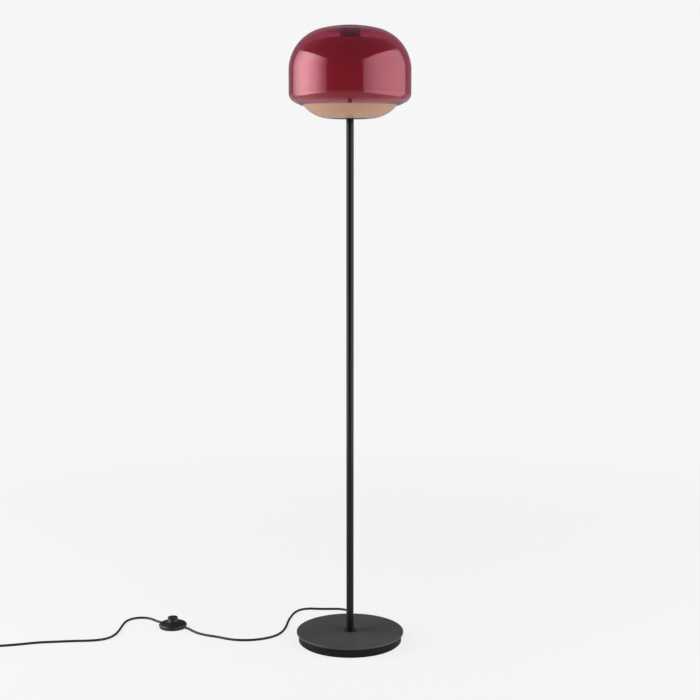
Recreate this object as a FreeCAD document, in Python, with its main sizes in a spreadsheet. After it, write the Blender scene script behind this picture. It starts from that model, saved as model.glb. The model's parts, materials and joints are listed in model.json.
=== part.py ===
"""Mushroom floor lamp: a weighted round base, a slim pole, and a red glass shade over an opal diffuser.

The lamp stands on the floor at z = 0 with its pole on the Z axis, +Y is the back, where the cord leaves
the base, and -X is the side on which the foot switch and the plug lie. All sizes are millimetres.
"""
import FreeCAD, Part
import math
import os
import Sketcher

V = FreeCAD.Vector
UP = V(0, 0, 1)
doc = FreeCAD.newDocument("mushroom_floor_lamp")

# ---------------------------------------------------------------------------------------------------
# Driving sizes
# ---------------------------------------------------------------------------------------------------
SIZES = (
    # whole lamp
    ("lamp_height", 1500.0, "floor to the crown of the top cap"),
    ("seat_gap", 0.3, "gap where a piece lies loosely in its seat"),
    ("slip_gap", 0.05, "radial gap of a cable in its sleeve and of a shaft in its guide"),
    ("hole_gap", 0.2, "radial gap of a threaded rod in a plain hole"),
    # base
    ("plate_radius", 132.5, "top plate of the base"),
    ("plate_thickness", 4.5, "top plate of the base"),
    ("plate_round", 1.2, "rounded rim of the top plate"),
    ("weight_radius", 127.5, "cast weight under the plate"),
    ("weight_thickness", 20.0, "cast weight under the plate"),
    ("weight_round", 1.3, "rounded lower rim of the cast weight"),
    ("foot_outer", 124.0, "foot ring, outer radius"),
    ("foot_inner", 108.0, "foot ring, inner radius"),
    ("foot_height", 2.0, "foot ring"),
    ("wiring_radius", 46.0, "wiring pocket in the underside of the weight"),
    ("web_thickness", 5.5, "iron left between the wiring pocket and the plate"),
    ("cover_radius", 54.0, "steel cover of the wiring pocket"),
    ("cover_thickness", 1.2, "steel cover of the wiring pocket"),
    ("cover_screw_circle", 50.0, "radius of the circle of cover screws"),
    ("cover_screw_length", 9.0, "cover screws, below their heads"),
    ("rod_radius", 5.0, "threaded tube that ties base and pole, and pole and head"),
    ("rod_bore", 3.9, "bore of the threaded tube"),
    ("rod_below_nut", 0.5, "thread that shows below the base nut"),
    ("nut_across_flats", 17.0, "hexagon nuts on the threaded tubes"),
    ("base_nut_height", 3.5, "nut under the web of the base"),
    ("washer_radius", 14.0, "washer under the web of the base"),
    ("washer_thickness", 1.5, "washer under the web of the base"),
    # cord, and what holds it in the base
    ("cord_radius", 3.0, "round two-core cord"),
    ("cord_lie", 3.05, "height of the cord's axis where it lies on the floor"),
    ("cord_exit_height", 8.5, "height at which the cord leaves the base"),
    ("cord_slot_width", 9.0, "slot for the cord bush in the rear of the weight"),
    ("bush_flange", 6.2, "flange radius of the cord bush"),
    ("bush_flange_thickness", 2.5, "flange of the cord bush"),
    ("bush_length", 12.0, "part of the bush inside the slot"),
    ("relief_length", 26.0, "tapered strain relief outside the flange"),
    ("relief_root", 4.6, "strain relief, radius at the flange"),
    ("relief_tip", 3.7, "strain relief, radius at the tip"),
    ("clamp_width", 24.0, "cord clamp in the wiring pocket"),
    ("clamp_depth", 9.0, "cord clamp, along the cord"),
    ("clamp_floor", 1.3, "clamp material under the cord"),
    ("clamp_back", 43.0, "rear face of the clamp from the pole axis"),
    ("clamp_screw_spread", 16.0, "distance between the two clamp screws"),
    ("clamp_screw_bite", 4.0, "depth of the clamp screws in the web"),
    ("terminal_width", 20.0, "two-way terminal block"),
    ("terminal_depth", 15.0, "two-way terminal block"),
    ("terminal_height", 12.6, "two-way terminal block"),
    ("terminal_gap", 3.0, "free cord between clamp and terminal block"),
    ("terminal_screw_spread", 9.0, "distance between the two terminal screws"),
    ("lead_radius", 2.2, "sleeved lead inside the pole"),
    ("lead_bend", 8.0, "bend of the lead into the threaded tube"),
    # pole
    ("pole_radius", 9.0, "pole tube"),
    ("pole_wall", 1.5, "pole tube"),
    ("insert_length", 20.0, "threaded inserts in the two ends of the pole"),
    ("collar_radius", 15.0, "collar ring at the foot of the pole"),
    ("collar_height", 4.0, "collar ring at the foot of the pole"),
    ("collar_round", 1.3, "rounded edge of the collar ring"),
    # glass
    ("crown_radius", 300.0, "sphere of the shade's crown and of the cap"),
    ("shoulder_middle", 45.0, "shade, pole axis to the centre of the arc between crown and side"),
    ("shade_radius", 145.0, "shade at its widest"),
    ("shade_wall", 3.5, "blown glass of the shade"),
    ("rim_radius", 24.0, "shade, arc between side and lip"),
    ("rim_drop", 157.0, "crown to the centre of the rim arc"),
    ("lip_slope", 0.48, "fall of the lip over its run towards the mouth"),
    ("mouth_gap", 5.5, "gap between the shade's mouth and the diffuser"),
    ("mouth_drop", 30.3, "height of the rim arc's centre above the edge of the mouth"),
    ("glass_gap", 10.5, "gap between the sides of the two glasses"),
    ("diffuser_wall", 3.0, "blown opal glass"),
    ("diffuser_drop", 217.0, "crown to the underside of the diffuser"),
    ("bowl_flat", 45.0, "diffuser, radius of its flat underside"),
    ("top_arc_radius", 68.0, "diffuser, arc from side to top"),
    ("lamp_opening", 44.8, "hole in the underside of the diffuser"),
    # parts between and on the glasses
    ("cap_radius", 54.0, "black cap on the crown"),
    ("cap_thickness", 5.8, "black cap at its centre"),
    ("cap_thread_depth", 3.6, "blind thread in the underside of the cap"),
    ("cap_seal_thickness", 0.8, "rubber seal under the cap"),
    ("spacer_radius", 24.5, "black spacer between the two glasses"),
    ("spacer_height", 19.9, "black spacer between the two glasses"),
    ("spacer_wall", 4.0, "black spacer between the two glasses"),
    ("rubber_thickness", 1.0, "rubber washers on the glass"),
    ("stud_radius", 4.0, "stud through both glasses"),
    ("glass_hole", 6.0, "radius of the holes for the stud in both glasses"),
    ("stud_nut_flats", 13.0, "nut on the stud"),
    ("stud_nut_height", 6.5, "nut on the stud"),
    ("support_thickness", 3.0, "support plate under the diffuser's top"),
    # bracket, closing disc, lampholder and bulb
    ("strap_width", 12.0, "strap bracket round the bulb"),
    ("strap_thickness", 2.0, "strap bracket round the bulb"),
    ("strap_half_span", 38.0, "strap bracket, pole axis to its outer side"),
    ("strap_corner", 20.0, "strap bracket, outer corner radius"),
    ("disc_radius", 43.0, "closing disc in the lamp opening"),
    ("disc_thickness", 1.5, "closing disc in the lamp opening"),
    ("disc_recess", 1.5, "closing disc above the underside of the diffuser"),
    ("disc_vent_radius", 3.0, "air holes in the closing disc"),
    ("disc_vent_circle", 30.0, "radius of the circle of air holes"),
    ("disc_ring_lip", 1.6, "soft ring over the edge of the closing disc"),
    ("head_nut_height", 4.0, "nut that clamps strap and disc on the pole"),
    ("holder_radius", 19.5, "lampholder"),
    ("holder_cap_height", 18.0, "screwed cap of the lampholder"),
    ("holder_skirt_height", 30.0, "skirt of the lampholder"),
    ("holder_wall", 2.5, "moulded wall of the lampholder"),
    ("holder_core_height", 9.0, "ceramic core of the lampholder"),
    ("thread_shell_radius", 13.7, "threaded shell of the lampholder, outside"),
    ("thread_shell_wall", 0.4, "threaded shell of the lampholder"),
    ("thread_shell_height", 24.0, "threaded shell of the lampholder"),
    ("contact_height", 3.2, "centre contact of the lampholder"),
    ("bulb_cap_height", 26.0, "screw cap of the bulb"),
    ("bulb_radius", 30.0, "bulb at its widest"),
    ("bulb_neck_radius", 14.5, "bulb glass where it meets the screw cap"),
    ("bulb_height", 82.0, "bulb glass above the screw cap"),
    ("bulb_wall", 1.0, "bulb glass"),
    # foot switch
    ("switch_x", -453.8, "foot switch from the pole axis"),
    ("switch_y", 100.0, "foot switch from the pole axis"),
    ("switch_turn", 148.0, "direction in which the cord runs through the switch, in degrees"),
    ("switch_radius", 35.6, "cover of the switch at its widest"),
    ("switch_base_radius", 33.6, "bottom plate of the switch"),
    ("switch_base_thickness", 2.2, "bottom plate of the switch"),
    ("switch_foot_height", 1.0, "rubber feet of the switch"),
    ("switch_foot_radius", 4.0, "rubber feet of the switch"),
    ("switch_widest_height", 6.5, "height at which the cover is widest"),
    ("switch_side_arc", 6.5, "arc between the side and the top of the cover"),
    ("switch_shoulder_radius", 31.2, "where that arc meets the sloping top"),
    ("switch_shoulder_height", 12.4, "where that arc meets the sloping top"),
    ("switch_neck_radius", 15.2, "neck round the button"),
    ("switch_neck_height", 16.2, "foot of the neck round the button"),
    ("switch_neck_top", 17.4, "top of the neck round the button"),
    ("switch_wall", 1.8, "moulded wall of the cover"),
    ("switch_cord_height", 6.4, "axis of the cord in the switch"),
    ("switch_fixing_circle", 26.0, "radius of the circle of feet and of the base screws"),
    ("switch_boss_radius", 3.0, "screw bosses in the cover"),
    ("button_radius", 13.0, "foot button"),
    ("button_height", 28.0, "foot button above the floor"),
    ("button_round", 1.8, "rounded top edge of the foot button"),
    ("button_travel", 4.0, "foot button, pressed"),
    ("button_flange", 15.0, "flange that keeps the button in"),
    ("button_flange_thickness", 2.0, "flange that keeps the button in"),
    ("button_wall", 3.0, "thickness of the button's top"),
    ("module_length", 30.4, "switching module, along the cord"),
    ("module_width", 34.0, "switching module, across the cord"),
    ("module_height", 4.4, "switching module"),
    ("guide_post_radius", 2.4, "post that guides the button spring"),
    ("guide_post_height", 5.6, "post that guides the button spring"),
    ("spring_radius", 3.6, "button spring, to the middle of its wire"),
    ("spring_wire", 0.4, "button spring, radius of its wire"),
    ("spring_turns", 6.0, "button spring"),
    ("contact_thickness", 0.25, "contact blades on the module"),
    ("switch_clamp_length", 5.5, "cord clamps in the switch, along the cord"),
    ("switch_clamp_width", 18.0, "cord clamps in the switch, across the cord"),
    ("switch_clamp_height", 7.6, "cord clamps in the switch"),
    ("switch_clamp_inner", 18.0, "cord clamps from the middle of the switch"),
    ("screw_radius", 1.25, "small screws"),
    ("screw_head_radius", 2.4, "small screws"),
    ("screw_head_height", 1.2, "small screws"),
    # plug and stored cord
    ("plug_width", 35.0, "flat two-pin plug"),
    ("plug_thickness", 13.6, "flat two-pin plug"),
    ("plug_length", 36.0, "flat two-pin plug, without pins and strain relief"),
    ("plug_waist_width", 16.0, "rear end of the plug"),
    ("plug_waist_thickness", 11.0, "rear end of the plug"),
    ("plug_lie", 6.85, "height of the plug's axis where it lies on the floor"),
    ("plug_shoulder", 20.0, "length over which the plug widens"),
    ("plug_round", 4.0, "rounded edges along the plug"),
    ("plug_relief_length", 24.0, "strain relief of the plug"),
    ("plug_relief_rib", 2.4, "ribs and grooves of the plug's strain relief"),
    ("plug_relief_groove", 0.8, "depth of those grooves"),
    ("pin_radius", 2.0, "plug pins"),
    ("pin_length", 19.0, "plug pins"),
    ("pin_spacing", 18.6, "plug pins"),
    ("coil_outer", 39.0, "stored coil, axis of the cord at its outermost"),
    ("coil_gap", 0.8, "gap between neighbouring turns of the coil"),
    ("coil_lift", 0.95, "tie under the coil"),
    ("unwind", 12.0, "how far the cord swings out of the coil in its last quarter turn"),
    ("tie_thickness", 0.8, "strap that ties the coil"),
    ("tie_width", 12.0, "strap that ties the coil"),
)
COIL_TURNS_PER_LAYER = 2
LAST_TURN = 0.25

sheet = doc.addObject("Spreadsheet::Sheet", "Sizes")
for row, (name, value, note) in enumerate(SIZES, start=1):
    sheet.set(f"A{row}", name)
    sheet.set(f"B{row}", str(value))
    sheet.set(f"C{row}", note)
    sheet.setAlias(f"B{row}", name)
doc.recompute()


class Size:
    """A length that knows its number and the spreadsheet formula which gives it."""

    def __init__(self, number, formula):
        self.number = float(number)
        self.formula = formula

    def joined(self, sign, other, number):
        return Size(number, f"({self.formula} {sign} {as_size(other).formula})")

    def __add__(self, other):
        return self.joined("+", other, self.number + as_size(other).number)

    def __sub__(self, other):
        return self.joined("-", other, self.number - as_size(other).number)

    def __mul__(self, other):
        return self.joined("*", other, self.number * as_size(other).number)

    def __truediv__(self, other):
        return self.joined("/", other, self.number / as_size(other).number)

    def __neg__(self):
        return Size(-self.number, f"(0 - {self.formula})")


def as_size(value):
    return value if isinstance(value, Size) else Size(value, repr(float(value)))


def root(size):
    return Size(math.sqrt(size.number), f"sqrt({size.formula})")


class SheetSizes:
    """Gives each named cell of the spreadsheet as a Size."""

    def __getattr__(self, name):
        return Size(sheet.get(name), f"Sizes.{name}")


S = SheetSizes()

# ---------------------------------------------------------------------------------------------------
# Heights and lengths that several pieces share
# ---------------------------------------------------------------------------------------------------
PLATE_BOTTOM = S.foot_height + S.weight_thickness
PLATE_TOP = PLATE_BOTTOM + S.plate_thickness
WEB_BOTTOM = PLATE_BOTTOM - S.web_thickness
COVER_TOP = S.foot_height + S.cover_thickness
ROD_BOTTOM = WEB_BOTTOM - S.washer_thickness - S.base_nut_height - S.rod_below_nut
CORD_HOLE = S.cord_radius + S.slip_gap

SHOULDER_RADIUS = S.shade_radius - S.shoulder_middle
RIM_CENTRE = S.lamp_height - S.rim_drop
DIFFUSER_RADIUS = S.shade_radius - S.shade_wall - S.glass_gap
DIFFUSER_BOTTOM = S.lamp_height - S.diffuser_drop
BOWL_RADIUS = DIFFUSER_RADIUS - S.bowl_flat
MOUTH_DEPTH = DIFFUSER_BOTTOM + BOWL_RADIUS - RIM_CENTRE + S.mouth_drop
MOUTH_RADIUS = S.bowl_flat + root(BOWL_RADIUS * BOWL_RADIUS - MOUTH_DEPTH * MOUTH_DEPTH) + S.mouth_gap
DISC_BOTTOM = DIFFUSER_BOTTOM + S.disc_recess
STRAP_BOTTOM = DISC_BOTTOM + S.disc_thickness
HEAD_NUT_BOTTOM = STRAP_BOTTOM + S.strap_thickness
HOLDER_BOTTOM = HEAD_NUT_BOTTOM + S.head_nut_height
HOLDER_JOINT = HOLDER_BOTTOM + S.holder_cap_height
CORE_BOTTOM = HOLDER_JOINT - S.holder_core_height / 2
CORE_TOP = CORE_BOTTOM + S.holder_core_height
BULB_CAP_BOTTOM = CORE_TOP + S.contact_height
BULB_GLASS_BOTTOM = BULB_CAP_BOTTOM + S.bulb_cap_height

CAP_BOTTOM = S.lamp_height - S.cap_thickness
SHADE_SEAT = CAP_BOTTOM - S.cap_seal_thickness
SHADE_LAND = SHADE_SEAT - S.shade_wall
SPACER_TOP = SHADE_LAND - S.rubber_thickness
SPACER_BOTTOM = SPACER_TOP - S.spacer_height
DIFFUSER_TOP = SPACER_BOTTOM - S.rubber_thickness
SUPPORT_TOP = DIFFUSER_TOP - S.diffuser_wall - S.rubber_thickness
STRAP_TOP = SUPPORT_TOP - S.support_thickness
STUD_NUT_BOTTOM = STRAP_TOP - S.strap_thickness - S.stud_nut_height

SWITCH_FLOOR = S.switch_foot_height + S.switch_base_thickness
MODULE_TOP = SWITCH_FLOOR + S.module_height
BUTTON_FLANGE_TOP = S.switch_neck_height - S.switch_wall - S.seat_gap
BUTTON_FLANGE_BOTTOM = BUTTON_FLANGE_TOP - S.button_flange_thickness
SPRING_TOP = S.button_height - S.button_wall


# ---------------------------------------------------------------------------------------------------
# Drawing helpers
# ---------------------------------------------------------------------------------------------------
def new_body(label):
    body = doc.addObject("PartDesign::Body", label)
    body.Label = label
    return body


def sketch_on(body, role, name, lift=None):
    """A sketch on one of the body's own origin planes, lifted along that plane's normal."""
    sketch = body.newObject("Sketcher::SketchObject", name)
    plane = next(item for item in body.Origin.OriginFeatures if item.Role == role)
    sketch.AttachmentSupport = [(plane, "")]
    sketch.MapMode = "FlatFace"
    if lift is not None:
        sketch.setExpression("AttachmentOffset.Base.z", as_size(lift).formula)
    return sketch


def fix_size(sketch, constraint, size):
    index = sketch.addConstraint(constraint)
    if isinstance(size, Size):
        sketch.setExpression(f"Constraints[{index}]", size.formula)


def fix_point(sketch, edge, end, x, y):
    """Dimension one end of an edge from the sketch's origin."""
    for kind, size, axis in (("DistanceX", x, -2), ("DistanceY", y, -1)):
        if as_size(size).number == 0:
            sketch.addConstraint(Sketcher.Constraint("PointOnObject", edge, end, axis))
        else:
            fix_size(sketch, Sketcher.Constraint(kind, -1, 1, edge, end, as_size(size).number), size)


def arc_between(start, end, radius, side):
    """The arc of less than a half circle from start to end, with its centre left or right of the way."""
    chord = end - start
    half = chord.Length / 2
    left = V(-chord.y, chord.x, 0).normalize()
    reach = math.sqrt(max(radius * radius - half * half, 0.0))
    centre = (start + end) * 0.5 + left * (reach if side == "left" else -reach)
    first, last = (start, end) if side == "left" else (end, start)
    angles = [math.atan2(point.y - centre.y, point.x - centre.x) for point in (first, last)]
    return Part.ArcOfCircle(Part.Circle(centre, UP, radius), angles[0], angles[1])


def draw_outline(sketch, corners):
    """A closed outline through corners (x, y); (x, y, radius, side) leaves its corner on an arc."""
    points = [V(as_size(corner[0]).number, as_size(corner[1]).number, 0) for corner in corners]
    first_edge = sketch.GeometryCount
    ends = []
    for index, corner in enumerate(corners):
        following = points[(index + 1) % len(points)]
        if len(corner) == 2:
            sketch.addGeometry(Part.LineSegment(points[index], following), False)
            ends.append((1, 2))
        else:
            radius, side = corner[2:]
            edge = arc_between(points[index], following, as_size(radius).number, side)
            sketch.addGeometry(edge, False)
            ends.append((1, 2) if side == "left" else (2, 1))
    for index, corner in enumerate(corners):
        after = (index + 1) % len(corners)
        sketch.addConstraint(Sketcher.Constraint(
            "Coincident", first_edge + index, ends[index][1], first_edge + after, ends[after][0]))
    for index, corner in enumerate(corners):
        fix_point(sketch, first_edge + index, ends[index][0], corner[0], corner[1])
        if len(corner) > 2:
            radius = as_size(corner[2])
            fix_size(sketch, Sketcher.Constraint("Radius", first_edge + index, radius.number), radius)


def draw_circle(sketch, x, y, radius):
    edge = sketch.addGeometry(
        Part.Circle(V(as_size(x).number, as_size(y).number, 0), UP, as_size(radius).number), False)
    fix_point(sketch, edge, 3, x, y)
    fix_size(sketch, Sketcher.Constraint("Radius", edge, as_size(radius).number), radius)


def rectangle(x_low, y_low, x_high, y_high):
    return [(x_low, y_low), (x_high, y_low), (x_high, y_high), (x_low, y_high)]


def turn(body, name, corners, role="XZ_Plane"):
    """Turn an outline (radius, height) round the upright axis of its sketch plane."""
    sketch = sketch_on(body, role, name + "_outline")
    draw_outline(sketch, corners)
    feature = body.newObject("PartDesign::Revolution", name)
    feature.Profile = sketch
    feature.ReferenceAxis = (sketch, ["V_Axis"])
    feature.Angle = 360
    return feature


def turned(label, corners, role="XZ_Plane"):
    body = new_body(label)
    turn(body, label + "_turned", corners, role)
    return body


def pad(body, sketch, name, length):
    feature = body.newObject("PartDesign::Pad", name)
    feature.Profile = sketch
    feature.setExpression("Length", as_size(length).formula)
    return feature


def pocket(body, sketch, name, length, reverse=False):
    feature = body.newObject("PartDesign::Pocket", name)
    feature.Profile = sketch
    feature.Reversed = reverse
    feature.setExpression("Length", as_size(length).formula)
    return feature


def around(feature, body, name, count):
    """Repeat a feature evenly round the Z axis."""
    axis = next(item for item in body.Origin.OriginFeatures if item.Role == "Z_Axis")
    pattern = body.newObject("PartDesign::PolarPattern", name)
    pattern.Originals = [feature]
    pattern.Axis = (axis, [""])
    pattern.Angle = 360
    pattern.Occurrences = count
    body.Tip = pattern
    return pattern


def round_edges(body, name, radius, rings):
    """Round the circular edges that lie at the given (radius, height) pairs."""
    doc.recompute()
    base = body.Tip
    names = []
    for index, edge in enumerate(base.Shape.Edges, start=1):
        if not isinstance(edge.Curve, Part.Circle):
            continue
        for ring_radius, height in rings:
            near_radius = abs(edge.Curve.Radius - as_size(ring_radius).number) < 0.01
            near_height = abs(edge.Curve.Center.z - as_size(height).number) < 0.01
            if near_radius and near_height:
                names.append(f"Edge{index}")
    feature = body.newObject("PartDesign::Fillet", name)
    feature.Base = (base, names)
    feature.setExpression("Radius", as_size(radius).formula)
    return feature


def placed(piece, x=0, y=0, z=0):
    """Give a piece its place, bound to the sheet."""
    for letter, size in (("x", x), ("y", y), ("z", z)):
        piece.setExpression(f"Placement.Base.{letter}", as_size(size).formula)
    return piece


def feature_of(label, shape):
    piece = doc.addObject("Part::Feature", label)
    piece.Label = label
    piece.Shape = shape
    return piece


def on_circle(radius, count, first_angle):
    """Points evenly spaced on a circle round the Z axis."""
    angles = [math.radians(first_angle + 360 * index / count) for index in range(count)]
    return [V(radius * math.cos(angle), radius * math.sin(angle), 0) for angle in angles]


def cylinder(radius, bottom, top, x=0.0, y=0.0):
    return Part.makeCylinder(radius, top - bottom, V(x, y, bottom))


def box(x_low, y_low, z_low, x_high, y_high, z_high):
    return Part.makeBox(x_high - x_low, y_high - y_low, z_high - z_low, V(x_low, y_low, z_low))


def small_screw(place, head_face, length, up=1):
    """A screw whose head starts at head_face and whose shank points up (1) or down (-1)."""
    axis = V(0, 0, up)
    start = V(place.x, place.y, head_face)
    neck = start + axis * S.screw_head_height.number
    head = Part.makeCylinder(S.screw_head_radius.number, S.screw_head_height.number, start, axis)
    shank = Part.makeCylinder(S.screw_radius.number, length, neck, axis)
    return head.fuse(shank).removeSplitter()


def hexagon_nut(label, flats, bottom, height, hole):
    body = new_body(label)
    sketch = sketch_on(body, "XY_Plane", label + "_outline", bottom)
    half = flats / 2
    side = flats / math.sqrt(3)
    quarter = side / 2
    draw_outline(sketch, [(side, 0), (quarter, half), (-quarter, half),
                          (-side, 0), (-quarter, -half), (quarter, -half)])
    draw_circle(sketch, 0, 0, hole)
    pad(body, sketch, label + "_block", height)
    return body


def tube(path, radius, sides=0):
    """The solid of a cord or a wire along a path, round or with flat sides."""
    first = path.Edges[0]
    start = first.valueAt(first.FirstParameter)
    heading = first.tangentAt(first.FirstParameter)
    if sides:
        across = heading.cross(UP).normalize()
        above = across.cross(heading).normalize()
        ring = []
        for index in range(sides):
            angle = 2 * math.pi * (index + 0.5) / sides
            ring.append(start + across * (radius * math.cos(angle)) + above * (radius * math.sin(angle)))
        outline = Part.makePolygon(ring + ring[:1])
        section = sides / 2 * radius * radius * math.sin(2 * math.pi / sides)
    else:
        outline = Part.Wire([Part.Circle(start, heading, radius).toShape()])
        section = math.pi * radius * radius
    solid = path.makePipeShell([outline], True, False)
    print("  length %.1f, volume over section times length %.4f"
          % (path.Length, solid.Volume / (section * path.Length)))
    return solid


def arc_middle(start, heading, end):
    """The middle of the arc that leaves start along heading and ends at end."""
    chord = end - start
    bulge = (heading - chord * (heading.dot(chord) / chord.dot(chord))).normalize()
    angle = heading.getAngle(chord)
    return (start + end) * 0.5 + bulge * (chord.Length / 2 * math.tan(angle / 2))


def biarc(start, heading_in, end, heading_out):
    """Two arcs that join tangentially and keep both headings."""
    across = end - start
    bend = 2 * (1 - heading_in.dot(heading_out))
    along = across.dot(heading_in + heading_out)
    reach = (math.sqrt(along * along + bend * across.dot(across)) - along) / bend
    joint = (start + end + (heading_in - heading_out) * reach) * 0.5
    first = Part.Arc(start, arc_middle(start, heading_in, joint), joint)
    second = Part.Arc(joint, arc_middle(end, -heading_out, joint), end)
    return [first.toShape(), second.toShape()]


def winding(point_at, turns_total):
    """Turns given by a point for each number of turns, as one biarc for each quarter turn."""
    step = 1e-4

    def heading_at(turns):
        return (point_at(turns + step) - point_at(turns - step)).normalize()

    edges = []
    for quarter in range(round(4 * turns_total)):
        here, after = quarter / 4, (quarter + 1) / 4
        edges += biarc(point_at(here), heading_at(here), point_at(after), heading_at(after))
    return edges


# ---------------------------------------------------------------------------------------------------
# Base
# ---------------------------------------------------------------------------------------------------
def make_base_plate():
    hole = S.rod_radius + S.hole_gap
    body = turned("base_plate", [
        (hole, PLATE_BOTTOM), (S.plate_radius, PLATE_BOTTOM),
        (S.plate_radius, PLATE_TOP), (hole, PLATE_TOP)])
    round_edges(body, "base_plate_rim", S.plate_round,
                [(S.plate_radius, PLATE_TOP), (S.plate_radius, PLATE_BOTTOM)])


def make_base_weight():
    hole = S.rod_radius + S.hole_gap
    rebate = S.cover_radius + S.seat_gap
    body = turned("base_weight", [
        (hole, WEB_BOTTOM), (S.wiring_radius, WEB_BOTTOM), (S.wiring_radius, COVER_TOP),
        (rebate, COVER_TOP), (rebate, S.foot_height), (S.weight_radius, S.foot_height),
        (S.weight_radius, PLATE_BOTTOM), (hole, PLATE_BOTTOM)])
    round_edges(body, "base_weight_rim", S.weight_round, [(S.weight_radius, S.foot_height)])
    half = S.cord_slot_width / 2
    slot = sketch_on(body, "XY_Plane", "cord_slot_outline", S.foot_height)
    draw_outline(slot, rectangle(
        -half, S.wiring_radius - S.bush_length, half, S.weight_radius + S.plate_round))
    pocket(body, slot, "cord_slot", S.cord_exit_height + half - S.foot_height, reverse=True)
    hole_sketch = sketch_on(body, "XY_Plane", "cover_screw_hole_outline", COVER_TOP)
    draw_circle(hole_sketch, S.cover_screw_circle, 0, S.screw_radius)
    screw_hole = pocket(body, hole_sketch, "cover_screw_hole", S.cover_screw_length, reverse=True)
    around(screw_hole, body, "cover_screw_holes", 3)
    clamp_holes = sketch_on(body, "XY_Plane", "clamp_screw_hole_outline", WEB_BOTTOM)
    for side in (S.clamp_screw_spread / 2, -S.clamp_screw_spread / 2):
        draw_circle(clamp_holes, side, S.clamp_back - S.clamp_depth / 2, S.screw_radius)
    pocket(body, clamp_holes, "clamp_screw_holes", S.clamp_screw_bite, reverse=True)


def make_base_cover():
    body = turned("base_cover", [
        (0, S.foot_height), (S.cover_radius, S.foot_height), (S.cover_radius, COVER_TOP), (0, COVER_TOP)])
    sketch = sketch_on(body, "XY_Plane", "cover_hole_outline", S.foot_height)
    draw_circle(sketch, S.cover_screw_circle, 0, S.screw_radius)
    hole = pocket(body, sketch, "cover_hole", S.cover_thickness, reverse=True)
    around(hole, body, "cover_holes", 3)


def make_base_cover_screws():
    head_face = (S.foot_height - S.screw_head_height).number
    length = (S.cover_thickness + S.cover_screw_length).number
    places = on_circle(S.cover_screw_circle.number, 3, 0)
    screws = [small_screw(place, head_face, length) for place in places]
    feature_of("base_cover_screws", Part.makeCompound(screws))


def make_base_fixings():
    turned("foot_ring", rectangle(S.foot_inner, 0, S.foot_outer, S.foot_height))
    turned("base_rod", rectangle(S.rod_bore, ROD_BOTTOM, S.rod_radius, PLATE_TOP + S.insert_length))
    turned("base_washer", rectangle(
        S.rod_radius + S.hole_gap, WEB_BOTTOM - S.washer_thickness, S.washer_radius, WEB_BOTTOM))
    nut_bottom = ROD_BOTTOM + S.rod_below_nut
    hexagon_nut("base_nut", S.nut_across_flats, nut_bottom, S.base_nut_height, S.rod_radius)


def make_pole_collar():
    top = PLATE_TOP + S.collar_height
    body = turned("pole_collar", rectangle(S.pole_radius + S.slip_gap, PLATE_TOP, S.collar_radius, top))
    round_edges(body, "pole_collar_rim", S.collar_round, [(S.collar_radius, top)])


# ---------------------------------------------------------------------------------------------------
# Cord hold and wiring in the base
# ---------------------------------------------------------------------------------------------------
def make_cord_bush():
    """The bush is turned round its own Y axis and then lifted to the height of the cord."""
    slot_fit = S.cord_slot_width / 2
    flange_end = S.weight_radius + S.bush_flange_thickness
    tip = flange_end + S.relief_length
    body = turned("cord_bush", [
        (CORD_HOLE, S.weight_radius - S.bush_length), (slot_fit, S.weight_radius - S.bush_length),
        (slot_fit, S.weight_radius), (S.bush_flange, S.weight_radius), (S.bush_flange, flange_end),
        (S.relief_root, flange_end), (S.relief_tip, tip), (CORD_HOLE, tip)], role="XY_Plane")
    placed(body, z=S.cord_exit_height)


def make_cord_clamp():
    body = new_body("cord_clamp")
    half = S.clamp_width / 2
    bottom = S.cord_exit_height - CORD_HOLE - S.clamp_floor
    sketch = sketch_on(body, "XY_Plane", "cord_clamp_outline", bottom)
    draw_outline(sketch, rectangle(-half, S.clamp_back - S.clamp_depth, half, S.clamp_back))
    spread = S.clamp_screw_spread / 2
    middle = S.clamp_back - S.clamp_depth / 2
    for side in (spread, -spread):
        draw_circle(sketch, side, middle, S.screw_radius)
    pad(body, sketch, "cord_clamp_block", WEB_BOTTOM - bottom)
    sinks = sketch_on(body, "XY_Plane", "cord_clamp_sink_outline", bottom)
    for side in (spread, -spread):
        draw_circle(sinks, side, middle, S.screw_head_radius)
    pocket(body, sinks, "cord_clamp_sinks", S.screw_head_height, reverse=True)
    hole = sketch_on(body, "XZ_Plane", "cord_clamp_hole_outline")
    draw_circle(hole, 0, S.cord_exit_height, CORD_HOLE)
    pocket(body, hole, "cord_clamp_hole", S.clamp_back + S.clamp_depth, reverse=False)


def make_cord_clamp_screws():
    bottom = (S.cord_exit_height - CORD_HOLE - S.clamp_floor).number
    middle = (S.clamp_back - S.clamp_depth / 2).number
    length = (WEB_BOTTOM + S.clamp_screw_bite - S.screw_head_height).number - bottom
    half = S.clamp_screw_spread.number / 2
    screws = [small_screw(V(side, middle, 0), bottom, length) for side in (-half, half)]
    feature_of("cord_clamp_screws", Part.makeCompound(screws))


def make_terminal_block():
    """A moulded block against the web, with a well for each of its two screws."""
    body = new_body("terminal_block")
    half = S.terminal_width / 2
    back = S.clamp_back - S.clamp_depth - S.terminal_gap
    sketch = sketch_on(body, "XY_Plane", "terminal_outline", WEB_BOTTOM - S.terminal_height)
    draw_outline(sketch, rectangle(-half, back - S.terminal_depth, half, back))
    pad(body, sketch, "terminal_body", S.terminal_height)
    wells = sketch_on(body, "XY_Plane", "terminal_well_outline", WEB_BOTTOM - S.terminal_height)
    for side in (S.terminal_screw_spread / 2, -S.terminal_screw_spread / 2):
        draw_circle(wells, side, back - S.terminal_depth / 2, S.screw_head_radius)
    pocket(body, wells, "terminal_wells", S.terminal_height / 2, reverse=True)


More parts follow.
